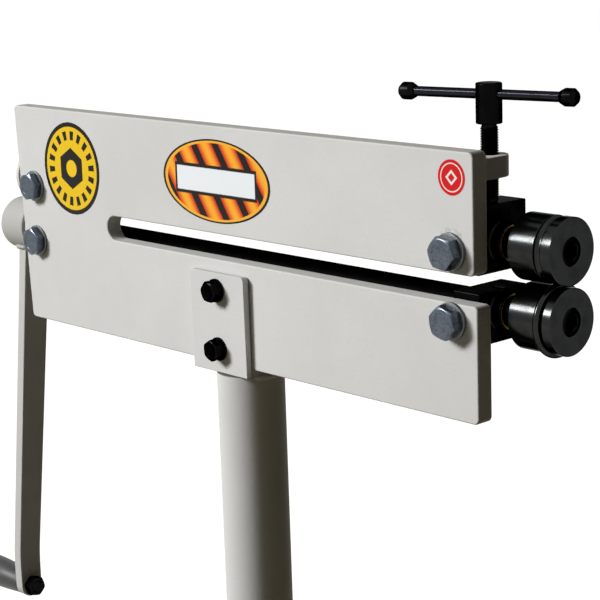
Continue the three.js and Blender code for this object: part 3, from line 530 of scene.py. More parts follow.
def cream_paint(name, cut_lines_and_top_shade=False, worn=(), grey=(206, 206, 205), shadow_level=None, gloss=0.05):
    """Sprayed cream enamel.

    cut_lines_and_top_shade adds flame-cut lines on the rims and painted shade on upward faces,
    deeper higher up; worn lists chipped places as (x, z, radius, softness), and shadow_level is
    the level above which a painted shadow darkens the paint.
    """
    base, faded, speck = (linear(*(value - drop for value in grey)) for drop in (0, 8, 19))
    made = Finish(name, base, 0.55, 0.0, gloss)
    broad = made.noise(7.0, 4.0, 0.6)
    fine = made.noise(420.0, 2.0, 0.5)
    tint = made.mix(made.band(broad, 0.35, 0.7), base, faded)
    tint = made.mix(made.band(fine, 0.55, 0.75, 0.0, 0.25), tint, speck)
    layers = [(made.noise(520.0, 1.0, 0.4), 0.00006), (made.noise(60.0, 2.0, 0.5), 0.00012)]
    if cut_lines_and_top_shade:
        # Painted shade: faces that look up turn darker, more so above about 1.05 m.
        share = made.band(made.level(), 1.05, 1.08, 0.35, 0.85)
        painted_top_shade = made.band(made.facing("Z"), 0.5, 0.9)
        tint = made.mix(made.times(painted_top_shade, share), tint, linear(168, 166, 160))
        rim = made.under(made.facing("Y"), 0.25, 0.6)
        lines = made.noise(420.0, 2.0, 0.6, (1, 0.05, 1))
        layers.append((made.times(lines, rim), 0.00030))
    for x, z, reach, soft in worn:
        away = made.length(*made.offset(x, z))
        near = made.under(away, (reach - soft) * MM, (reach + soft) * MM)
        lifted = made.band(made.times(near, made.noise(190.0, 4.0, 0.7)), 0.44, 0.56)
        tint = made.mix(made.times(lifted, 0.5), tint, linear(176, 174, 166))
        layers.append((lifted, 0.00022))
    if shadow_level:
        # Painted shadow: above this level the paint turns dark, standing for the shadow under the
        # saddle.
        painted_shadow = made.band(made.level(), (shadow_level - 0.5) * MM, (shadow_level + 0.5) * MM)
        tint = made.mix(painted_shadow, tint, linear(96, 92, 82))
    return made.finish(tint, made.band(broad, 0.3, 0.7, 0.48, 0.60), *layers)


def black_steel(name="black_steel", sharpest=0.13, dullest=0.27, grey=20):
    """Blacked steel, a very dark metal. Its roughness wanders between the two limits."""
    made = Finish(name, linear(grey, grey, grey), dullest, 1.0, edge=0.1)
    broad = made.noise(38.0, 4.0, 0.6)
    grain = made.noise(900.0, 2.0, 0.6)
    tint = made.mix(made.band(broad, 0.35, 0.75), linear(grey / 2, grey / 2, grey / 2),
                    linear(grey, grey, grey + 1))
    return made.finish(tint, made.band(broad, 0.3, 0.7, sharpest, dullest), (grain, 0.00001),
                       (broad, 0.00008))


def turned_steel(name, colour, roughness):
    """Bright steel with the fine rings that a lathe leaves across X."""
    made = Finish(name, colour, roughness, 1.0, edge=0.3)
    rings = made.noise(1.0, 2.0, 0.7, (2600.0, 0.0, 0.0))
    stain = made.noise(70.0, 4.0, 0.6)
    tint = made.mix(made.band(stain, 0.45, 0.8, 0.0, 0.55), colour, linear(26, 26, 27))
    rough = made.math("ADD", made.band(rings, 0.3, 0.7, roughness - 0.05, roughness + 0.06),
                      made.band(stain, 0.4, 0.8, 0.0, 0.08))
    return made.finish(tint, rough, (rings, 0.000012))


def zinc_steel(name="zinc_steel", metallic=1.0, dull=0.0):
    """Zinc plate with faint blotches. dull greys and roughens it, as on a rubbed washer."""
    made = Finish(name, linear(118, 124, 134), 0.34, metallic)
    flakes = made.cells(420.0)
    patches = made.noise(160.0, 4.0, 0.65)
    light, dark = (linear(red + dull, green + 0.8 * dull, blue + 0.4 * dull)
                   for red, green, blue in ((79, 87, 97), (48, 55, 68)))
    tint = made.mix(made.band(patches, 0.3, 0.75), light, dark)
    tint = made.mix(made.band(flakes, 0.1, 0.6, 0.0, 0.3), tint, linear(112, 120, 130))
    return made.finish(tint, made.band(patches, 0.3, 0.7, 0.20 + dull / 200, 0.40 + dull / 200),
                       (patches, 0.00010), (flakes, 0.00003))


def bearing_bronze():
    made = Finish("bearing_bronze", linear(158, 122, 72), 0.36, 1.0)
    patches = made.noise(130.0, 4.0, 0.6)
    rings = made.noise(1.0, 2.0, 0.7, (2200.0, 0.0, 0.0))
    tint = made.mix(made.band(patches, 0.35, 0.7), linear(168, 130, 78), linear(112, 82, 48))
    return made.finish(tint, made.band(patches, 0.3, 0.7, 0.28, 0.45), (rings, 0.00001))


def grip_plastic():
    made = Finish("grip_plastic", linear(22, 22, 23), 0.5)
    grain = made.noise(1300.0, 2.0, 0.5)
    worn = made.noise(55.0, 3.0, 0.6)
    tint = made.mix(made.band(worn, 0.4, 0.75), linear(20, 20, 21), linear(38, 38, 39))
    return made.finish(tint, made.band(worn, 0.3, 0.7, 0.38, 0.56), (grain, 0.00004))


def hex_distance(made, u, v):
    """Distance of a point to the middle of a hexagon, measured across its flats."""
    total = None
    for k in range(3):
        angle = math.pi / 3 * k
        along = made.absolute(made.math("ADD", made.times(u, math.cos(angle)),
                                    made.times(v, math.sin(angle))))
        total = along if total is None else made.math("MAXIMUM", total, along)
    return total


def yellow_badge(x, z, radius):
    """Yellow disc: a dark ring, a row of dashes and a hexagon nut."""
    made = Finish("yellow_badge", linear(228, 190, 18), 0.16, 0.0, 0.12)
    black = linear(14, 13, 11)
    u, v = made.offset(x, z)
    away = made.length(u, v)
    tint = made.mix(made.noise(300.0), linear(230, 192, 18), linear(220, 180, 12))
    dash = made.band(made.math("SINE", made.times(made.math("ARCTAN2", v, u), 18.0)), -0.05, 0.15)
    within = made.times(made.band(away, (radius - 17) * MM, (radius - 16.6) * MM),
                        made.under(away, (radius - 8.4) * MM, (radius - 8) * MM))
    tint = made.mix(made.times(dash, within), tint, black)
    tint = made.printed(tint, away, radius - 4.2, radius + 4, black)
    tint = made.mix(made.under(hex_distance(made, u, v), 17.0 * MM, 17.4 * MM), tint, black)
    tint = made.printed(tint, away, -1.0, 8.2, linear(228, 190, 18))
    return made.finish(tint, None, (made.noise(90.0, 2.0), 0.00008))


def warm_oval(x, z, half_width, half_height):
    """Oval of slanted warm stripes on black, with a blank pale bar across it."""
    made = Finish("warm_oval", linear(226, 120, 30), 0.16, 0.0, 0.12)
    dark = linear(22, 18, 16)
    u, v = made.offset(x, z)
    u = made.math("DIVIDE", u, half_width * MM)
    v = made.math("DIVIDE", v, half_height * MM)
    away = made.length(u, v)
    wave = made.math("SINE", made.math("ADD", made.times(u, 15.0), made.times(v, 5.0)))

    def bar_within(low_v, high_v, low_u, high_u):
        return made.times(made.under(made.absolute(v), low_v, high_v),
                          made.under(made.absolute(u), low_u, high_u))

    tint = made.mix(made.band(wave, -0.3, 1.0), linear(206, 58, 18), linear(244, 168, 44))
    tint = made.mix(made.under(wave, -0.62, -0.5), tint, dark)
    tint = made.mix(bar_within(0.36, 0.38, 0.755, 0.765), tint, dark)
    tint = made.mix(bar_within(0.28, 0.30, 0.72, 0.73), tint, linear(226, 230, 234))
    tint = made.mix(made.band(away, 0.90, 0.915), tint, linear(238, 172, 52))
    tint = made.mix(made.band(away, 0.955, 0.965), tint, linear(24, 20, 18))
    return made.finish(tint, None, (made.noise(90.0, 2.0), 0.00008))


def red_disc(x, z, radius):
    """Red disc: a thin pale ring and a pale square on its corner."""
    made = Finish("red_disc", linear(206, 24, 30), 0.18, 0.0, 0.12)
    pale = linear(232, 226, 222)
    u, v = made.offset(x, z)
    tint = made.mix(made.noise(300.0), linear(210, 26, 32), linear(198, 20, 26))
    tint = made.printed(tint, made.length(u, v), radius - 3.4, radius - 2.5, pale, 0.15)
    diamond = made.math("ADD", made.absolute(u), made.absolute(v))
    tint = made.printed(tint, diamond, 3.6, 6.0, pale, 0.15)
    return made.finish(tint, None, (made.noise(120.0, 2.0), 0.00006))


paint = cream_paint("cream_paint")
# Darker copies of the cream paint: painted shade on the crank's hub, its weld and its arm.
shaded_hub_paint = cream_paint("shaded_hub_paint", grey=(178, 177, 174))
shaded_arm_paint = cream_paint("shaded_arm_paint", grey=(190, 190, 188))
# The post's paint carries a painted shadow band at its top, under the saddle.
post_paint = cream_paint("post_paint", shadow_level=SADDLE_BOTTOM - 1.6, gloss=0.012)
# The plate and cheek paints carry painted shade on their upward faces besides the flame-cut lines.
plate_paint = cream_paint("plate_paint", True, [
    (FRONT_BLOCK, UPPER_AXIS - BOLT_DROP + 5, 16.5, 3.5),
    (FRONT_BLOCK, LOWER_AXIS - BOLT_DROP, 14.5, 2.5),
    (REAR_BLOCK, UPPER_AXIS - BOLT_DROP, 14.5, 2.5),
])
cheek_paint = cream_paint("cheek_paint", True, [
    (SADDLE_X, SADDLE_BOTTOM + CLAMP_LEVELS[0], 11.5, 3.0),
    (SADDLE_X, SADDLE_BOTTOM + CLAMP_LEVELS[1], 11.5, 3.0),
])
black = black_steel()
# A darker, rougher copy of black steel: its darker colour is painted shade on the shafts.
shaded_shaft_black = black_steel("shaded_shaft_black", 0.5, 0.62, 9)
bar_steel = turned_steel("bar_steel", linear(34, 35, 40), 0.12)
hub_black = black_steel("hub_black", 0.28, 0.38, 18)
bright = turned_steel("polished_steel", linear(45, 46, 46), 0.15)
zinc = zinc_steel()
dull_zinc = zinc_steel("dull_zinc", 0.6, 35)
bronze = bearing_bronze()
plastic = grip_plastic()
SLOTS = ("cream_paint", "black_steel", "polished_steel", "zinc_steel", "bearing_bronze",
         "grip_plastic")
SLOT_OF = {name: name for name in SLOTS}
SLOT_OF.update(plate_paint="cream_paint", cheek_paint="cream_paint")


# Pieces

def raw(name, bm):
    """An object from a bmesh in millimetres."""
    bm.transform(Matrix.Scale(MM, 4))
    bmesh.ops.recalc_face_normals(bm, faces=bm.faces)
    mesh = bpy.data.meshes.new(name)
    bm.to_mesh(mesh)
    bm.free()
    made = bpy.data.objects.new(name, mesh)
    scene.collection.objects.link(made)
    return made


def combine(made, others, operation):
    """Cuts solids away from an object, or joins them to it."""
    tools = [raw("tool", bm) for bm in others]
    for tool in tools:
        step = made.modifiers.new("combine", "BOOLEAN")
        step.operation = operation
        step.solver = "EXACT"
        step.object = tool
    bpy.context.view_layer.update()
    graph = bpy.context.evaluated_depsgraph_get()
    mesh = bpy.data.meshes.new_from_object(made.evaluated_get(graph))
    old = made.data
    made.modifiers.clear()
    made.data = mesh
    bpy.data.meshes.remove(old)
    mesh.name = made.name
    for tool in tools:
        bpy.data.objects.remove(tool)


def union(bm, other):
    """One solid, in millimetres, from two that overlap."""
    made = raw("union", bm)
    combine(made, [other], "UNION")
    whole = bmesh.new()
    whole.from_mesh(made.data)
    bpy.data.objects.remove(made)
    return moved(whole, Matrix.Scale(1 / MM, 4))


def piece(name, bm, material, body, stands_for=(), cutters=(), smooth=32.0):
    """A finished piece that rides on a body and may stand for CAD nodes."""
    made = raw(name, bm)
    if cutters:
        combine(made, cutters, "DIFFERENCE")
    mesh = made.data
    mesh.materials.clear()
    mesh.materials.append(material)
    mesh.polygons.foreach_set("use_smooth", [True] * len(mesh.polygons))
    mesh.set_sharp_from_angle(angle=math.radians(smooth))
    step = made.modifiers.new("normals", "WEIGHTED_NORMAL")
    step.keep_sharp = True
    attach(made, body)
    if stands_for:
        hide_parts(*stands_for)


def skin(node, bm, material, body, cutters=(), **settings):
    """A piece that takes the place of one CAD node."""
    piece(node + "_skin", bm, material, body, [node], cutters, **settings)


def weld(name, path, radius, seed, pitch=2.6, closed=False, material=paint, body="frame",
         turn=Matrix()):
    """A piece that is a weld bead along a path, turned to its place."""
    piece(name, moved(bead(path, radius, seed, pitch, closed), turn), material, body, smooth=60)


def rod(radius, low, high, sides=32):
    """A plain rod along Z, mostly to cut a hole."""
    return lathe([(0, low), (radius, low), (radius, high), (0, high)], sides)


def bar(radius, low, high, axis, x, y, z, sides=32):
    """A plain rod along any axis."""
    return placed(rod(radius, low, high, sides), axis, x, y, z)


def make_frame_plate():
    rear_low = PLATE_REAR + REAR_SLANT * (PLATE_TOP - PLATE_BOTTOM)
    round_end = (THROAT_HIGH - THROAT_LOW) / 2 - 0.02
    outline = fillet([
        (LOWER_REACH, PLATE_BOTTOM, 5), (LOWER_REACH, THROAT_LOW, 4),
        (THROAT_END, THROAT_LOW, round_end), (THROAT_END, THROAT_HIGH, round_end),
        (PLATE_REACH, THROAT_HIGH, 5), (PLATE_REACH, PLATE_TOP, 5.5),
        (PLATE_REAR, PLATE_TOP, 5), (rear_low, PLATE_BOTTOM, 5),
    ], 0, 10)
    bolt_hole, clamp_hole, slot_half, rise, drop = 8.3, 5.7, 8.2, 6.1, 0.8
    holes = []
    for name, bearing in BEARINGS.items():
        x, z = bearing.x, bearing.axis - BOLT_DROP
        if name == "upper_front":
            slot = (arc(x, z + rise, slot_half, 0, 180, 16)
                    + arc(x, z - drop, slot_half, 180, 360, 16))
            holes.append(prism(slot, PLATE_FRONT - 2, PLATE_BACK + 2, plane="xz"))
        else:
            holes.append(bar(bolt_hole, -30, 5, "y", x, 0, z))
    holes += [bar(clamp_hole, -30, 5, "y", SADDLE_X, 0, SADDLE_BOTTOM + level)
              for level in CLAMP_LEVELS]
    plate = prism(outline, PLATE_FRONT, PLATE_BACK, 1.5, 4, "xz")
    skin("frame_plate", plate, plate_paint, "frame", holes)


def make_nut_lug():
    low, high, half, hole = 1092.5, 1109.5, 14.75, 7.5
    left, right, foot = FRONT_BLOCK - half, FRONT_BLOCK + half, PLATE_BACK + CLEAR
    outline = [Vector((left, foot)), Vector((right, foot))]
    outline += arc(FRONT_BLOCK, SHAFT_Y, half, 0, 180, 32)
    cone = [(0, high - 1.2), (hole, high - 1.2), (hole + 1.5, high + 0.5), (0, high + 0.5)]
    cutters = [placed(bm, "z", FRONT_BLOCK, SHAFT_Y)
               for bm in (rod(hole, low - 2, high + 2, 48), lathe(cone, 48))]
    skin("nut_lug", prism(outline, low, high, 0.9), paint, "frame", cutters)
    y = foot + 1.2
    for tag, level in (("top", high + 0.2), ("bottom", low - 0.2)):
        weld("lug_weld_" + tag, [(left, y, level), (right, y, level)], 2.2, 3)
    for tag, x in (("front", right + 0.3), ("rear", left - 0.3)):
        weld("lug_weld_" + tag, [(x, y, low + 1), (x, y, high - 1)], 2.0, 5)


def make_blocks():
    front, back = -5.8, 50.0
    boss_radius, bolt_hole, pilot_hole, pin_hole = 16.0, 8.1, 5.6, 2.1
    past = BLOCK_HALF + 2
    for name, (body, x, axis, below, above, side, boss, bore, _) in BEARINGS.items():
        end = BLOCK_HALF + boss
        bm = block(x - BLOCK_HALF, x + BLOCK_HALF, front, back, axis - below, axis + above, 0.9,
                   corner=1.0)
        ring = shaft([
            (0, 2), (boss_radius + 1.5, 2), (boss_radius + 1.5, BLOCK_HALF - 0.3, 0.1),
            (boss_radius, BLOCK_HALF + 1.4, 1.4), (boss_radius, end, 0.9), (0, end)], arcs=4)
        cutters = [on_shaft(rod(BUSH_RADIUS + CLEAR, -past, end + 2, 64), axis, x, side),
                   bar(bolt_hole, -36, -15.2, "y", x, SHAFT_Y, axis - BOLT_DROP)]
        if name == "upper_front":
            cutters += [
                bar(pilot_hole, BLOCK_TOP - 13.4, BLOCK_TOP + 1, "z", x, SHAFT_Y, 0, 48),
                bar(pin_hole, -past, past, "x", x, SHAFT_Y + 5.8, BLOCK_TOP - 7.6),
            ]
        whole = union(bm, on_shaft(ring, axis, x, side))
        skin(name + "_block", whole, black, body, cutters)
        bush = tube_ring(bore, BUSH_RADIUS, -BLOCK_HALF, end)
        skin(name + "_bush", on_shaft(bush, axis, x, side), bronze, body)


def hex_bolt(flats, head, diameter, length, pitch, dish):
    """A bolt along Z with its head on the side below z = 0 and its shank above."""
    top = moved(hex_head(flats, head, dish), Matrix.Rotation(math.pi, 4, "X"))
    plain = length * 0.45
    screw = threaded(diameter / 2, pitch, plain - 1, length, 36, 6)
    return merged(top, rod(diameter / 2, -0.5, plain, 40), screw)


def make_block_bolts():
    diameter, pitch, flats = 16.0, 2.0, 24.0
    washer_back = PLATE_FRONT - CLEAR
    for name, bearing in BEARINGS.items():
        x, z = bearing.x, bearing.axis - BOLT_DROP
        thick, head = (2.0, 8.0) if x == REAR_BLOCK else (3.0, 10.0)
        washer_front = washer_back - thick
        washer = tube_ring(8.25, 15.0, washer_front, washer_back, 72, 0.55)
        skin(name + "_washer", placed(washer, "y", x, 0, z), dull_zinc, bearing.body)
        length = SHAFT_Y - BUSH_RADIUS - 1.4 - washer_front
        bolt = hex_bolt(flats, head, diameter, length, pitch, 0.35)
        placed(bolt, "y", x, washer_front - CLEAR, z, bearing.turn)
        skin(name + "_bolt", bolt, zinc, bearing.body)


def make_shafts():
    crank_end, front = -380.5, ROLLER_BACK + ROLLER_BORE - 0.3
    tapping, centre = 7.1, 2.0  # holes in the front and rear ends
    inner_rear = REAR_BLOCK + BLOCK_HALF + 0.4
    inner_front = FRONT_BLOCK - BLOCK_HALF - 0.4
    for name, body, axis in SHAFTS:
        rear = crank_end if name == "lower" else GEAR_REAR + 0.5
        bm = shaft([
            (0, rear), (SEAT_RADIUS, rear, 0.9), (SEAT_RADIUS, JOURNAL_REAR),
            (JOURNAL_RADIUS, JOURNAL_REAR, 0.4), (JOURNAL_RADIUS, inner_rear),
            (SHAFT_RADIUS, inner_rear, 0.7), (SHAFT_RADIUS, inner_front, 0.7),
            (JOURNAL_RADIUS, inner_front), (JOURNAL_RADIUS, ROLLER_BACK - CLEAR, 0.4),
            (SEAT_RADIUS, ROLLER_BACK - CLEAR), (SEAT_RADIUS, front, 0.5), (0, front),
        ])
        cutters = [
            keyway(rear - 1, GEAR_FRONT + 1, GEAR_KEYWAY, axis, 8, 13),
            keyway(ROLLER_BACK + 1, front + 1, ROLLER_KEYWAY, axis, 9.2, 13),
            on_shaft(rod(tapping, ROLLER_BACK - 1.4, front + 1), axis),
            on_shaft(rod(centre, rear - 1, rear + 5, 24), axis),
        ]
        skin(name + "_shaft", on_shaft(bm, axis), shaded_shaft_black, body, cutters)


def roller_profile(male):
    """Points of a roller with a bead round it, or with the groove that takes the bead."""
    radius, edge, station, steps = ROLLER_RADIUS, 0.8, 28.5, 14
    turns = [math.pi * k / steps for k in range(steps + 1)]
    points = [(SEAT_BORE, 0), (radius - edge, 0), (radius, edge)]
    if male:
        swell, relief = 3.0, radius - 1.6
        foot = station + swell
        points += [(radius + swell * math.sin(t), station - swell * math.cos(t))
                   for t in turns[:-1]]
        points += [(relief, foot + 0.05), (relief, foot + 1.2), (radius, foot + 2.2)]
    else:
        swell, lip = 3.5, 0.2
        points.append((radius, station - swell - 0.5))
        points += [(radius - lip - (swell - lip) * math.sin(t), station - swell * math.cos(t))
                   for t in turns]
        points.append((radius, station + swell + 0.5))
    recess, hole, web = 10.85, 7.35, ROLLER_BORE + 5
    points += [(radius, ROLLER_LENGTH - edge), (radius - edge, ROLLER_LENGTH),
               (recess + 0.6, ROLLER_LENGTH), (recess, ROLLER_LENGTH - 0.6), (recess, web),
               (hole, web), (hole, ROLLER_BORE), (SEAT_BORE, ROLLER_BORE)]
    return points


def make_rollers():
    seat = ROLLER_BACK + ROLLER_BORE + 5.1
    head, flats = 13.8, 12.0
    socket = [Vector(polar(flats / 2 / math.cos(math.pi / 6), angle)) for angle in circle(6)]
    lip = [(0, head - 0.7), (6.2, head - 0.7), (7.8, head + 0.4), (0, head + 0.4)]
    for name, body, axis in SHAFTS:
        roller = lathe(roller_profile(name == "lower"), 128, closed=True)
        way = keyway(ROLLER_BACK - 1, ROLLER_BACK + ROLLER_BORE, ROLLER_KEYWAY, axis, 0, 12.3)
        skin(name + "_roller", on_shaft(roller, axis, ROLLER_BACK), bright, body, [way], smooth=25)
        screw = shaft([(0, -27), (6, -27), (7, -25.8), (7, 0), (10.5, 0, 0.2), (10.5, head, 0.9),
                       (0, head)])
        cutters = [on_shaft(bm, axis, seat)
                   for bm in (prism(socket, head - 8, head + 1), lathe(lip, 48))]
        skin(name + "_roller_screw", on_shaft(screw, axis, seat), black, body, cutters)


def gear_outline(phase):
    """Involute teeth, slightly thinned so that two gears mesh freely."""
    count, module, pressure = 18, 3.0, math.radians(20)
    pitch_radius = count * module / 2
    root, tip = pitch_radius - 1.25 * module, pitch_radius + module - 0.4
    base = pitch_radius * math.cos(pressure)

    def involute(angle):
        return math.tan(angle) - angle

    def half_angle(radius):
        at_pitch = (math.pi * module / 2 - 0.45) / (2 * pitch_radius)
        return at_pitch + involute(pressure) - involute(math.acos(min(1, base / radius)))

    radii = [root + 0.9, base, base + (pitch_radius - base) * 0.5, pitch_radius,
             pitch_radius + 1.3, tip - 0.25]
    foot, crown = (root, half_angle(base) + 0.035), (tip, half_angle(tip) - 0.008)
    side = [foot, *((radius, half_angle(radius)) for radius in radii), crown]
    points = []
    for angle in circle(count):
        middle = phase + angle
        points += [Vector(polar(radius, middle - half)) for radius, half in side]
        points += [Vector(polar(radius, middle + half)) for radius, half in reversed(side)]
    return points


def make_gears():
    """Both gears. Known fault: the cut loses the toothed rim, so that no teeth are left."""
    boss_end = JOURNAL_REAR - 0.3
    low, high = GEAR_REAR - 1, boss_end + 1
    # Phase and width of the teeth, and the radius of the flange or collar behind them
    kinds = {"upper": (math.pi / 18, 20.5, 29.6), "lower": (0.0, 19.7, 23.4)}
    for name, body, axis in reversed(SHAFTS):
        phase, width, radius = kinds[name]
        outline = [Vector((SHAFT_Y - p.y, axis + p.x)) for p in gear_outline(phase)]
        rear, length = GEAR_FRONT - width, boss_end - GEAR_FRONT
        rim = prism(outline, rear, GEAR_FRONT, 0.35, 2, "yz")
        flange = shaft([(0, GEAR_REAR), (radius, GEAR_REAR, 0.8), (radius, rear + 0.02, 0.3),
                        (0, rear + 0.02)], 96, 4)
        boss = shaft([(0, -2), (19, -2), (19, length, 1.2), (0, length)], arcs=4)
        cutters = [
            on_shaft(rod(SEAT_BORE, low, high, 64), axis),
            keyway(low, GEAR_FRONT + 1, GEAR_KEYWAY, axis, 0, 14.1),
            bar(SET_SCREW_HOLE, 0, 40, "z", (GEAR_FRONT + boss_end) / 2, SHAFT_Y, axis),
            on_shaft(tube_ring(15.0, 21.5, GEAR_REAR - 3, GEAR_REAR + 1.2, edge=0.4), axis),
        ]
        gear = merged(rim, on_shaft(flange, axis), on_shaft(boss, axis, GEAR_FRONT))
        skin(name + "_gear", gear, paint, body, cutters)


def section(half_width, half_depth, radius, steps=3):
    corners = [(-half_depth, -half_width), (half_depth, -half_width), (half_depth, half_width),
               (-half_depth, half_width)]
    return fillet(corners, radius, steps)


def arm_shift(level):
    """How far the crank arm has leant out at a level below the shaft axis, its bend eased."""
    bend = CRANK_RADIUS - ARM_FOOT
    slope, ease = math.tan(ARM_LEAN), 14.0
    if level < bend - ease:
        return slope * level
    if level > bend + ease:
        return SPINDLE_SHIFT
    t = (level - bend + ease) / (2 * ease)
    return slope * (bend - ease) + slope * 2 * ease * (t - t * t / 2)


def make_crank():
    hub_radius, hub_half = 26.5, 19.0
    hub = shaft([(0, -hub_half), (hub_radius, -hub_half, 1.6), (hub_radius, hub_half, 1.6),
                 (0, hub_half)], 96)
    cutters = [
        on_shaft(rod(SEAT_BORE, -20, 20, 64), LOWER_AXIS, HUB_X),
        keyway(HUB_X - 20, HUB_X + 20, GEAR_KEYWAY, LOWER_AXIS, 0, 14.1),
        bar(SET_SCREW_HOLE, 0, 40, "y", HUB_X, SHAFT_Y, LOWER_AXIS),
    ]
    skin("crank_hub", on_shaft(hub, LOWER_AXIS, HUB_X), shaded_hub_paint, "crank", cutters)

    def on_arm(level, p):
        return ARM_X - arm_shift(level) + p.x, SHAFT_Y + p.y, LOWER_AXIS - level

    end, end_radius, taper = CRANK_RADIUS, 12.75, 0.00542
    levels = [20 + (end - 20 - 0.01) * k / 60 for k in range(61)]
    levels += [end + end_radius * math.sin(math.pi / 2 * k / 12) for k in range(1, 13)]
    rows = []
    for level in levels:
        below = max(0.0, level - end)
        half = max(0.6, math.sqrt(max(0.0, end_radius ** 2 - below ** 2)))
        half += max(0.0, end - level) * taper
        depth = 5.5 if half < 3 else 6.0
        rows.append([on_arm(level, p) for p in section(half, depth, min(1.1, half * 0.9))])
    cutters = [on_shaft(rod(6.1, ARM_OUTER - 5, ARM_OUTER + 20), GRIP_AXIS),
               on_shaft(rod(24.0, HUB_X - 30, HUB_X + 30, 48), LOWER_AXIS)]
    skin("crank_arm", loft(rows), shaded_arm_paint, "crank", cutters)

    path = [on_arm(math.sqrt((hub_radius + 0.5) ** 2 - p.y ** 2), p)
            for p in section(15.8, 7.2, 2.5, 4)]
    weld("crank_weld", path, 2.6, 11, closed=True, material=shaded_hub_paint, body="crank")

    far = -GRIP_LENGTH
    spindle = shaft([
        (0, far - 6.6), (7.0, far - 6.6, 0.6), (9.5, far - 4.2, 0.8), (9.5, far - 0.6, 0.4),
        (6.0, far - 0.6), (6.0, 11.0), (0, 11.0)], 48)
    spindle = merged(spindle, threaded(6.0, 1.75, 10.5, 24.0, 36, 7))
    skin("grip_spindle", on_shaft(spindle, GRIP_AXIS, ARM_OUTER), black, "crank")
    nut = hex_head(19.0, 10.0, both=True, bore=6.1)
    placed(nut, "x", ARM_OUTER + 12.1, SHAFT_Y, GRIP_AXIS, 0.3)
    skin("spindle_nut", nut, black, "crank")

    waist, swell, steps = 12.0, 4.0, 40
    lip = [(6.35, 0), (waist - 0.8, 0), (waist + 0.6, -0.7), (waist + 1, -2.0),
           (waist + 0.9, -3.2)]
    profile = list(lip)
    for k in range(steps + 1):
        share = k / steps
        profile.append((waist + swell * math.sin(math.pi * (0.08 + 0.84 * share)),
                        -4 - share * (GRIP_LENGTH - 8)))
    profile += [(radius, far - station) for radius, station in reversed(lip)]
    grip = on_shaft(lathe(profile, 64, closed=True), GRIP_AXIS, ARM_OUTER - 0.3)
    skin("crank_grip", grip, plastic, "grip", smooth=40)


def make_adjuster():
    top, neck_radius = SCREW_RISE, 5.9
    screw = threaded(7.3, 2.0, 1.2, top - 2.2, 56, 10)
    neck = shaft([(0, top - 3), (neck_radius, top - 3), (neck_radius, top + 12, 0.8),
                  (0, top + 12)], 48)
    pilot = shaft([
        (0, -13), (5.2, -13, 0.8), (5.2, -9.9), (3.5, -9.9), (3.5, -5.3), (5.2, -5.3),
        (5.2, 0.1), (6.0, 0.1), (6.0, 2.0), (0, 2.0)], 48)
    bm = placed(merged(pilot, screw, neck), "z", FRONT_BLOCK, SHAFT_Y, BLOCK_TOP)
    skin("adjusting_screw", bm, black, "adjuster", smooth=50)

    place = (Matrix.Translation((FRONT_BLOCK, SHAFT_Y, TEE_FOOT))
             @ Matrix.Rotation(TEE_TURN, 4, "Z"))
    height, level = 31.5, 22.5  # of the hub, and of the bar in it
    hub = shaft([(0, 0), (10.3, 0, 0.9), (10.3, height, 1.3), (0, height)])
    cutters = [moved(bm, place) for bm in (bar(4.3, -20, 20, "x", 0, 0, level, 40),
                                           rod(6.2, -1, 12.3, 40))]
    skin("tee_hub", moved(hub, place), hub_black, "adjuster", cutters)

    half, shift, knob_length = 76.0, -2.0, 14.0
    handle = shaft([(0, -half), (4, -half, 0.5), (4, half, 0.5), (0, half)], 40)
    placed(handle, "x", shift, 0, level)
    skin("tee_bar", moved(handle, place), bar_steel, "tee_bar")
    start = half + CLEAR + 2 - knob_length
    for tag, axis, x in (("right", "x", shift + start), ("left", "-x", shift - start)):
        knob = shaft([
            (0, 12), (4.1, 12), (4.1, 0), (4.9, 0, 0.3), (7, 4.0, 0.7), (7, 11.0, 0.7),
            (4.4, knob_length, 0.7), (0, knob_length)], 48)
        placed(knob, axis, x, 0, level)
        skin("tee_knob_" + tag, moved(knob, place), black, "tee_bar")


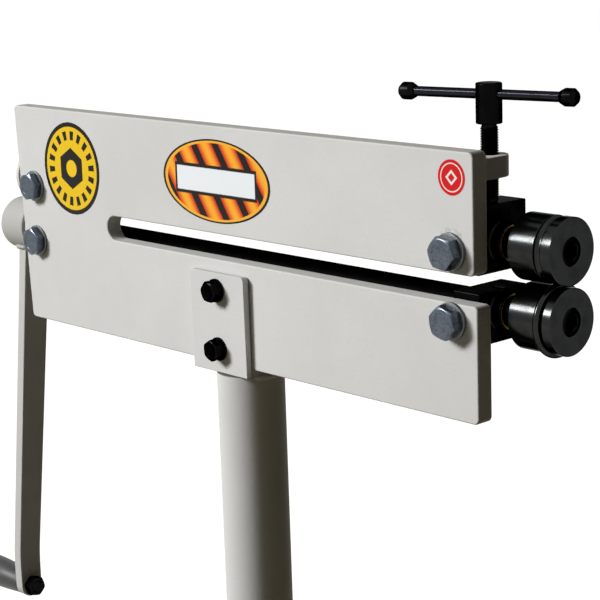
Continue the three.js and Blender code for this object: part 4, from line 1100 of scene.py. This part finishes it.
def make_saddle():
    half, back_face = CHEEK_HALF, PLATE_BACK + CLEAR + CHEEK_THICK
    lean = (Matrix.Translation((SADDLE_X, CHEEK_BACK, SADDLE_BOTTOM))
            @ Matrix.Rotation(CHEEK_LEAN, 4, "X"))

    def cheek(height, y):
        outline = fillet([(half, 0, 0.8), (half, height, 3.5), (-half, height, 3.5),
                          (-half, 0, 0.8)], 0, 8)
        return prism(outline, y, y + CHEEK_THICK, 0.7, 3, "xz")

    holes = [moved(bar(5.35, -10, 3, "y", 0, 0, level), lean) for level in CLAMP_LEVELS]
    piece("front_cheek_skin", moved(cheek(CHEEK_HEIGHT, -CHEEK_THICK), lean), cheek_paint,
          "frame", ["saddle_front_cheek"], holes)
    rise = 6.8
    back = cheek(CHEEK_HEIGHT - rise, PLATE_BACK + CLEAR)
    placed(back, x=SADDLE_X, z=SADDLE_BOTTOM + rise)
    holes = [bar(6.1, PLATE_BACK - 3, PLATE_BACK + 9, "y", SADDLE_X, 0, SADDLE_BOTTOM + level)
             for level in CLAMP_LEVELS]
    piece("back_cheek_skin", back, cheek_paint, "frame", ["saddle_back_cheek"], holes)

    depth, thick = 53.2, 6.7
    outline = fillet([(-half, 0, 1), (half, 0, 1), (half, depth, 4), (-half, depth, 4)], 0, 5)
    floor = prism(outline, 0, thick, 0.6)
    placed(floor, x=SADDLE_X, y=CHEEK_BACK + CLEAR, z=SADDLE_BOTTOM)
    piece("saddle_plate_skin", floor, cheek_paint, "frame", ["saddle_base_plate"])

    for name, reach, y, rise, radius, seed in (
            ("cheek_weld", 35, CHEEK_BACK + 0.3, 0.2, 1.3, 21),
            ("back_cheek_weld", 34, back_face + 0.8, 7.4, 2.6, 23)):
        path = [(SADDLE_X + side * reach, y, SADDLE_BOTTOM + rise) for side in (-1, 1)]
        weld(name, path, radius, seed, 3.0)

    seat, past = 10.5, 2.0  # how far the bolt heads and ends lie from the cheeks
    plate = PLATE_BACK - PLATE_FRONT
    length = seat + CHEEK_GAP + plate + CLEAR + CHEEK_THICK + past
    for tag, level, turn in zip(("lower", "upper"), CLAMP_LEVELS, (0.45, 0.1)):
        washer = placed(tube_ring(5.35, 10.5, -8.1, -6.1, 56, 0.35), "y", z=level)
        skin("clamp_washer_" + tag, moved(washer, lean), black, "frame")
        lock = placed(tube_ring(5.25, 9.2, -10.4, -8.2, 56, 0.25), "y", z=level)
        slit = block(0, 14, -14, -5, -0.6, 0.6, 0.05, 1)
        moved(slit, lean @ Matrix.Translation((0, 0, level))
              @ Matrix.Rotation(-math.pi / 3, 4, "Y"))
        skin("clamp_lock_washer_" + tag, moved(lock, lean), black, "frame", [slit])
        bolt = placed(hex_bolt(17.0, 6.4, 10.0, length, 1.5, 0.25), "y", 0, -seat, level, turn)
        skin("clamp_bolt_" + tag, moved(bolt, lean), black, "frame")


def make_stand():
    foot, top = 10.1, SADDLE_BOTTOM - 0.3
    post = tube_ring(POST_RADIUS - 3.9, POST_RADIUS, foot, top, 128)
    skin("stand_post", post, post_paint, "frame")

    def ring(gap, level):
        return [Vector((*polar(POST_RADIUS + gap, angle), level)) for angle in circle(72)]

    inside = [p for p in ring(1.0, top - 0.9) if p.y > CHEEK_BACK + 2.5]
    inside.sort(key=lambda p: math.atan2(p.x, -p.y) % (2 * math.pi))
    weld("post_top_weld", inside, 2.6, 31, 3.2)
    weld("post_foot_weld", ring(1.2, foot + 1.0), 3.2, 33, 3.4, closed=True)

    half, spread, hole = 190.0, 158.0, 7.0
    outline = fillet([(half, -half), (half, half), (-half, half), (-half, -half)], 20.0, 12)
    places = [(x, y) for x in (-spread, spread) for y in (-spread, spread)]
    cone = [(0, 9.2), (hole, 9.2), (hole + 1.4, 10.6), (0, 10.6)]
    cutters = [placed(rod(hole, -2, 12, 40), "z", x, y) for x, y in places]
    cutters += [placed(lathe(cone, 40), "z", x, y) for x, y in places]
    piece("base_plate_skin", prism(outline, 0, 10, 1.2, 4), cheek_paint, "frame",
          ["stand_base_plate"], cutters)

    start, reach, height, half_thick = POST_RADIUS + 0.3, 140.4, 130, 4
    outline = fillet([
        (start + 8, 0), (reach, 0, 1), (reach, 14, 2), (start + 14, height, 3),
        (start, height, 1), (start, 8)], 0, 4)
    for i, side in enumerate(("right", "back", "left", "front")):
        turn = Matrix.Rotation(i * math.pi / 2, 4, "Z")
        gusset = placed(prism(outline, -half_thick, half_thick, 0.8, 3, "xz"), z=foot)
        skin("gusset_" + side, moved(gusset, turn), cheek_paint, "frame")
        for tag, y in (("a", half_thick + 0.6), ("b", -half_thick - 0.6)):
            low = [(start + 10, y, foot + 0.6), (start + 108, y, foot + 0.6)]
            high = [(start + 0.4, y, foot + 12), (start + 0.4, y, foot + height - 2)]
            for part, path in (("floor", low), ("post", high)):
                weld("gusset_weld_" + side + "_" + part + "_" + tag, path, 2.6, 40 + i, 3.4,
                     turn=turn)


def make_stickers():
    thick = 0.18
    # The finish, the middle, and the radius or the half width and half height
    stickers = {
        "round_sticker": (yellow_badge, -224.0, 1062.3, 44.0),
        "oval_sticker": (warm_oval, -11.6, 1069.0, 71.6, 36.6),
        "small_sticker": (red_disc, 266.4, 1097.0, 13.8),
    }
    for name, (finish, x, z, *size) in stickers.items():
        radius, squash = size[0], size[-1] / size[0]
        disc = shaft([(0, 0), (radius, 0), (radius, thick, 0.08), (0, thick)], 96, 2)
        place = (Matrix.Translation((x, PLATE_FRONT + 0.02, z))
                 @ Matrix.Diagonal((1, 1, squash, 1)))
        piece(name, moved(placed(disc, "-y"), place), finish(x, z, *size), "frame")


def dress_nodes():
    """Gives every CAD node a finish. Keys, set screws and the pin have no skin, so they show."""
    for name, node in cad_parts.items():
        dark = any(word in name for word in ("key", "screw", "pin"))
        node.data.materials.clear()
        node.data.materials.append(black if dark else paint)


# Stage, light and camera

def fresh_tree(owner):
    owner.use_nodes = True
    owner.node_tree.nodes.clear()
    return owner.node_tree


def background_rays(tree):
    """1 for the rays that see the white background: camera, glossy and transmission rays."""
    rays = add_node(tree, "LightPath").outputs
    total = rays["Is Camera Ray"]
    for kind in ("Is Glossy Ray", "Is Transmission Ray"):
        total = add_node(tree, "Math", {0: total, 1: rays[kind]}, operation="MAXIMUM").outputs[0]
    return total


def make_stage():
    """A floor that is white for the rays that see it and dull for the others."""
    floor = raw("floor", lathe([(0, -0.5), (60000, -0.5)], 96))
    made = bpy.data.materials.new("floor_white")
    tree = fresh_tree(made)
    none, glow = (add_node(tree, "Emission", {"Strength": power}).outputs[0]
                  for power in (0.0, 1.0))
    pick = add_node(tree, "MixShader", {0: background_rays(tree), 1: none, 2: glow})
    dull = add_node(tree, "BsdfDiffuse", {"Color": (0.19, 0.165, 0.11, 1)})
    both = add_node(tree, "AddShader", {0: pick.outputs[0], 1: dull.outputs[0]})
    add_node(tree, "OutputMaterial", {"Surface": both.outputs[0]})
    floor.data.materials.append(made)


def make_world():
    """White for the rays that see it. The others see a dim room, lighter on one side."""
    world = bpy.data.worlds.new("studio")
    scene.world = world
    tree = fresh_tree(world)
    lighter = Vector((-0.62, -0.72, 0.32)).normalized()
    where = add_node(tree, "TexCoord").outputs["Generated"]
    toward = add_node(tree, "VectorMath", {0: where, 1: lighter}, operation="DOT_PRODUCT")
    level = add_node(tree, "MapRange", {"Value": toward.outputs["Value"], "From Min": -0.3,
                                        "From Max": 1.0})
    steep = add_node(tree, "Math", {0: level.outputs["Result"], 1: 2.0},
                     operation="POWER").outputs[0]
    power = add_node(tree, "Math", {0: steep, 1: 0.20, 2: 0.015}, operation="MULTIPLY_ADD")
    shade = add_node(tree, "Mix", {0: steep, 6: (1.0, 0.84, 0.52, 1), 7: (0.92, 0.97, 1.0, 1)},
                     data_type="RGBA")
    room = add_node(tree, "Background", {"Color": shade.outputs[2],
                                         "Strength": power.outputs[0]})
    white = add_node(tree, "Background", {"Color": (1, 1, 1, 1), "Strength": 1.0})
    pick = add_node(tree, "MixShader", {0: background_rays(tree), 1: room.outputs[0],
                                        2: white.outputs[0]})
    add_node(tree, "OutputWorld", {"Surface": pick.outputs[0]})


def area_light(name, place, target, width, height, power):
    data = bpy.data.lights.new(name, "AREA")
    data.shape = "RECTANGLE"
    data.size = width
    data.size_y = height
    data.energy = power
    made = bpy.data.objects.new(name, data)
    scene.collection.objects.link(made)
    made.location = place
    made.rotation_euler = (Vector(target) - Vector(place)).to_track_quat("-Z", "Y").to_euler()


def make_lights():
    area_light("key", (-4.05, -5.47, 4.42), (0, 0, 0.95), 1.8, 1.8, 655)
    area_light("strip", (-1.64, -3.64, 3.98), (0.265, 0.023, 1.155), 0.9, 0.16, 40)
    area_light("fill", (-1.2, 6.0, 2.3), (0, 0, 0.95), 2.4, 2.4, 45)


def make_camera():
    """The camera that was solved from the photo's straight edges."""
    data = bpy.data.cameras.new("camera")
    camera = bpy.data.objects.new("camera", data)
    scene.collection.objects.link(camera)
    scene.camera = camera
    data.sensor_width = 36.0
    data.lens = 110.267
    data.clip_start = 0.05
    data.clip_end = 500.0
    right = Vector((0.676708, 0.735530, -0.032579)).normalized()
    forward = Vector((-0.723650, 0.656323, -0.213472)).normalized()
    up = right.cross(forward)
    place = Matrix((right, up, -forward)).transposed().to_4x4()
    place.translation = (1.202449, -1.028770, 1.305898)
    camera.matrix_world = place


make_camera()
make_frame_plate()
make_nut_lug()
make_blocks()
make_block_bolts()
make_shafts()
make_rollers()
make_gears()
make_crank()
make_adjuster()
make_saddle()
make_stand()
make_stickers()
dress_nodes()
make_stage()
make_world()
make_lights()

scene.view_settings.view_transform = "Standard"
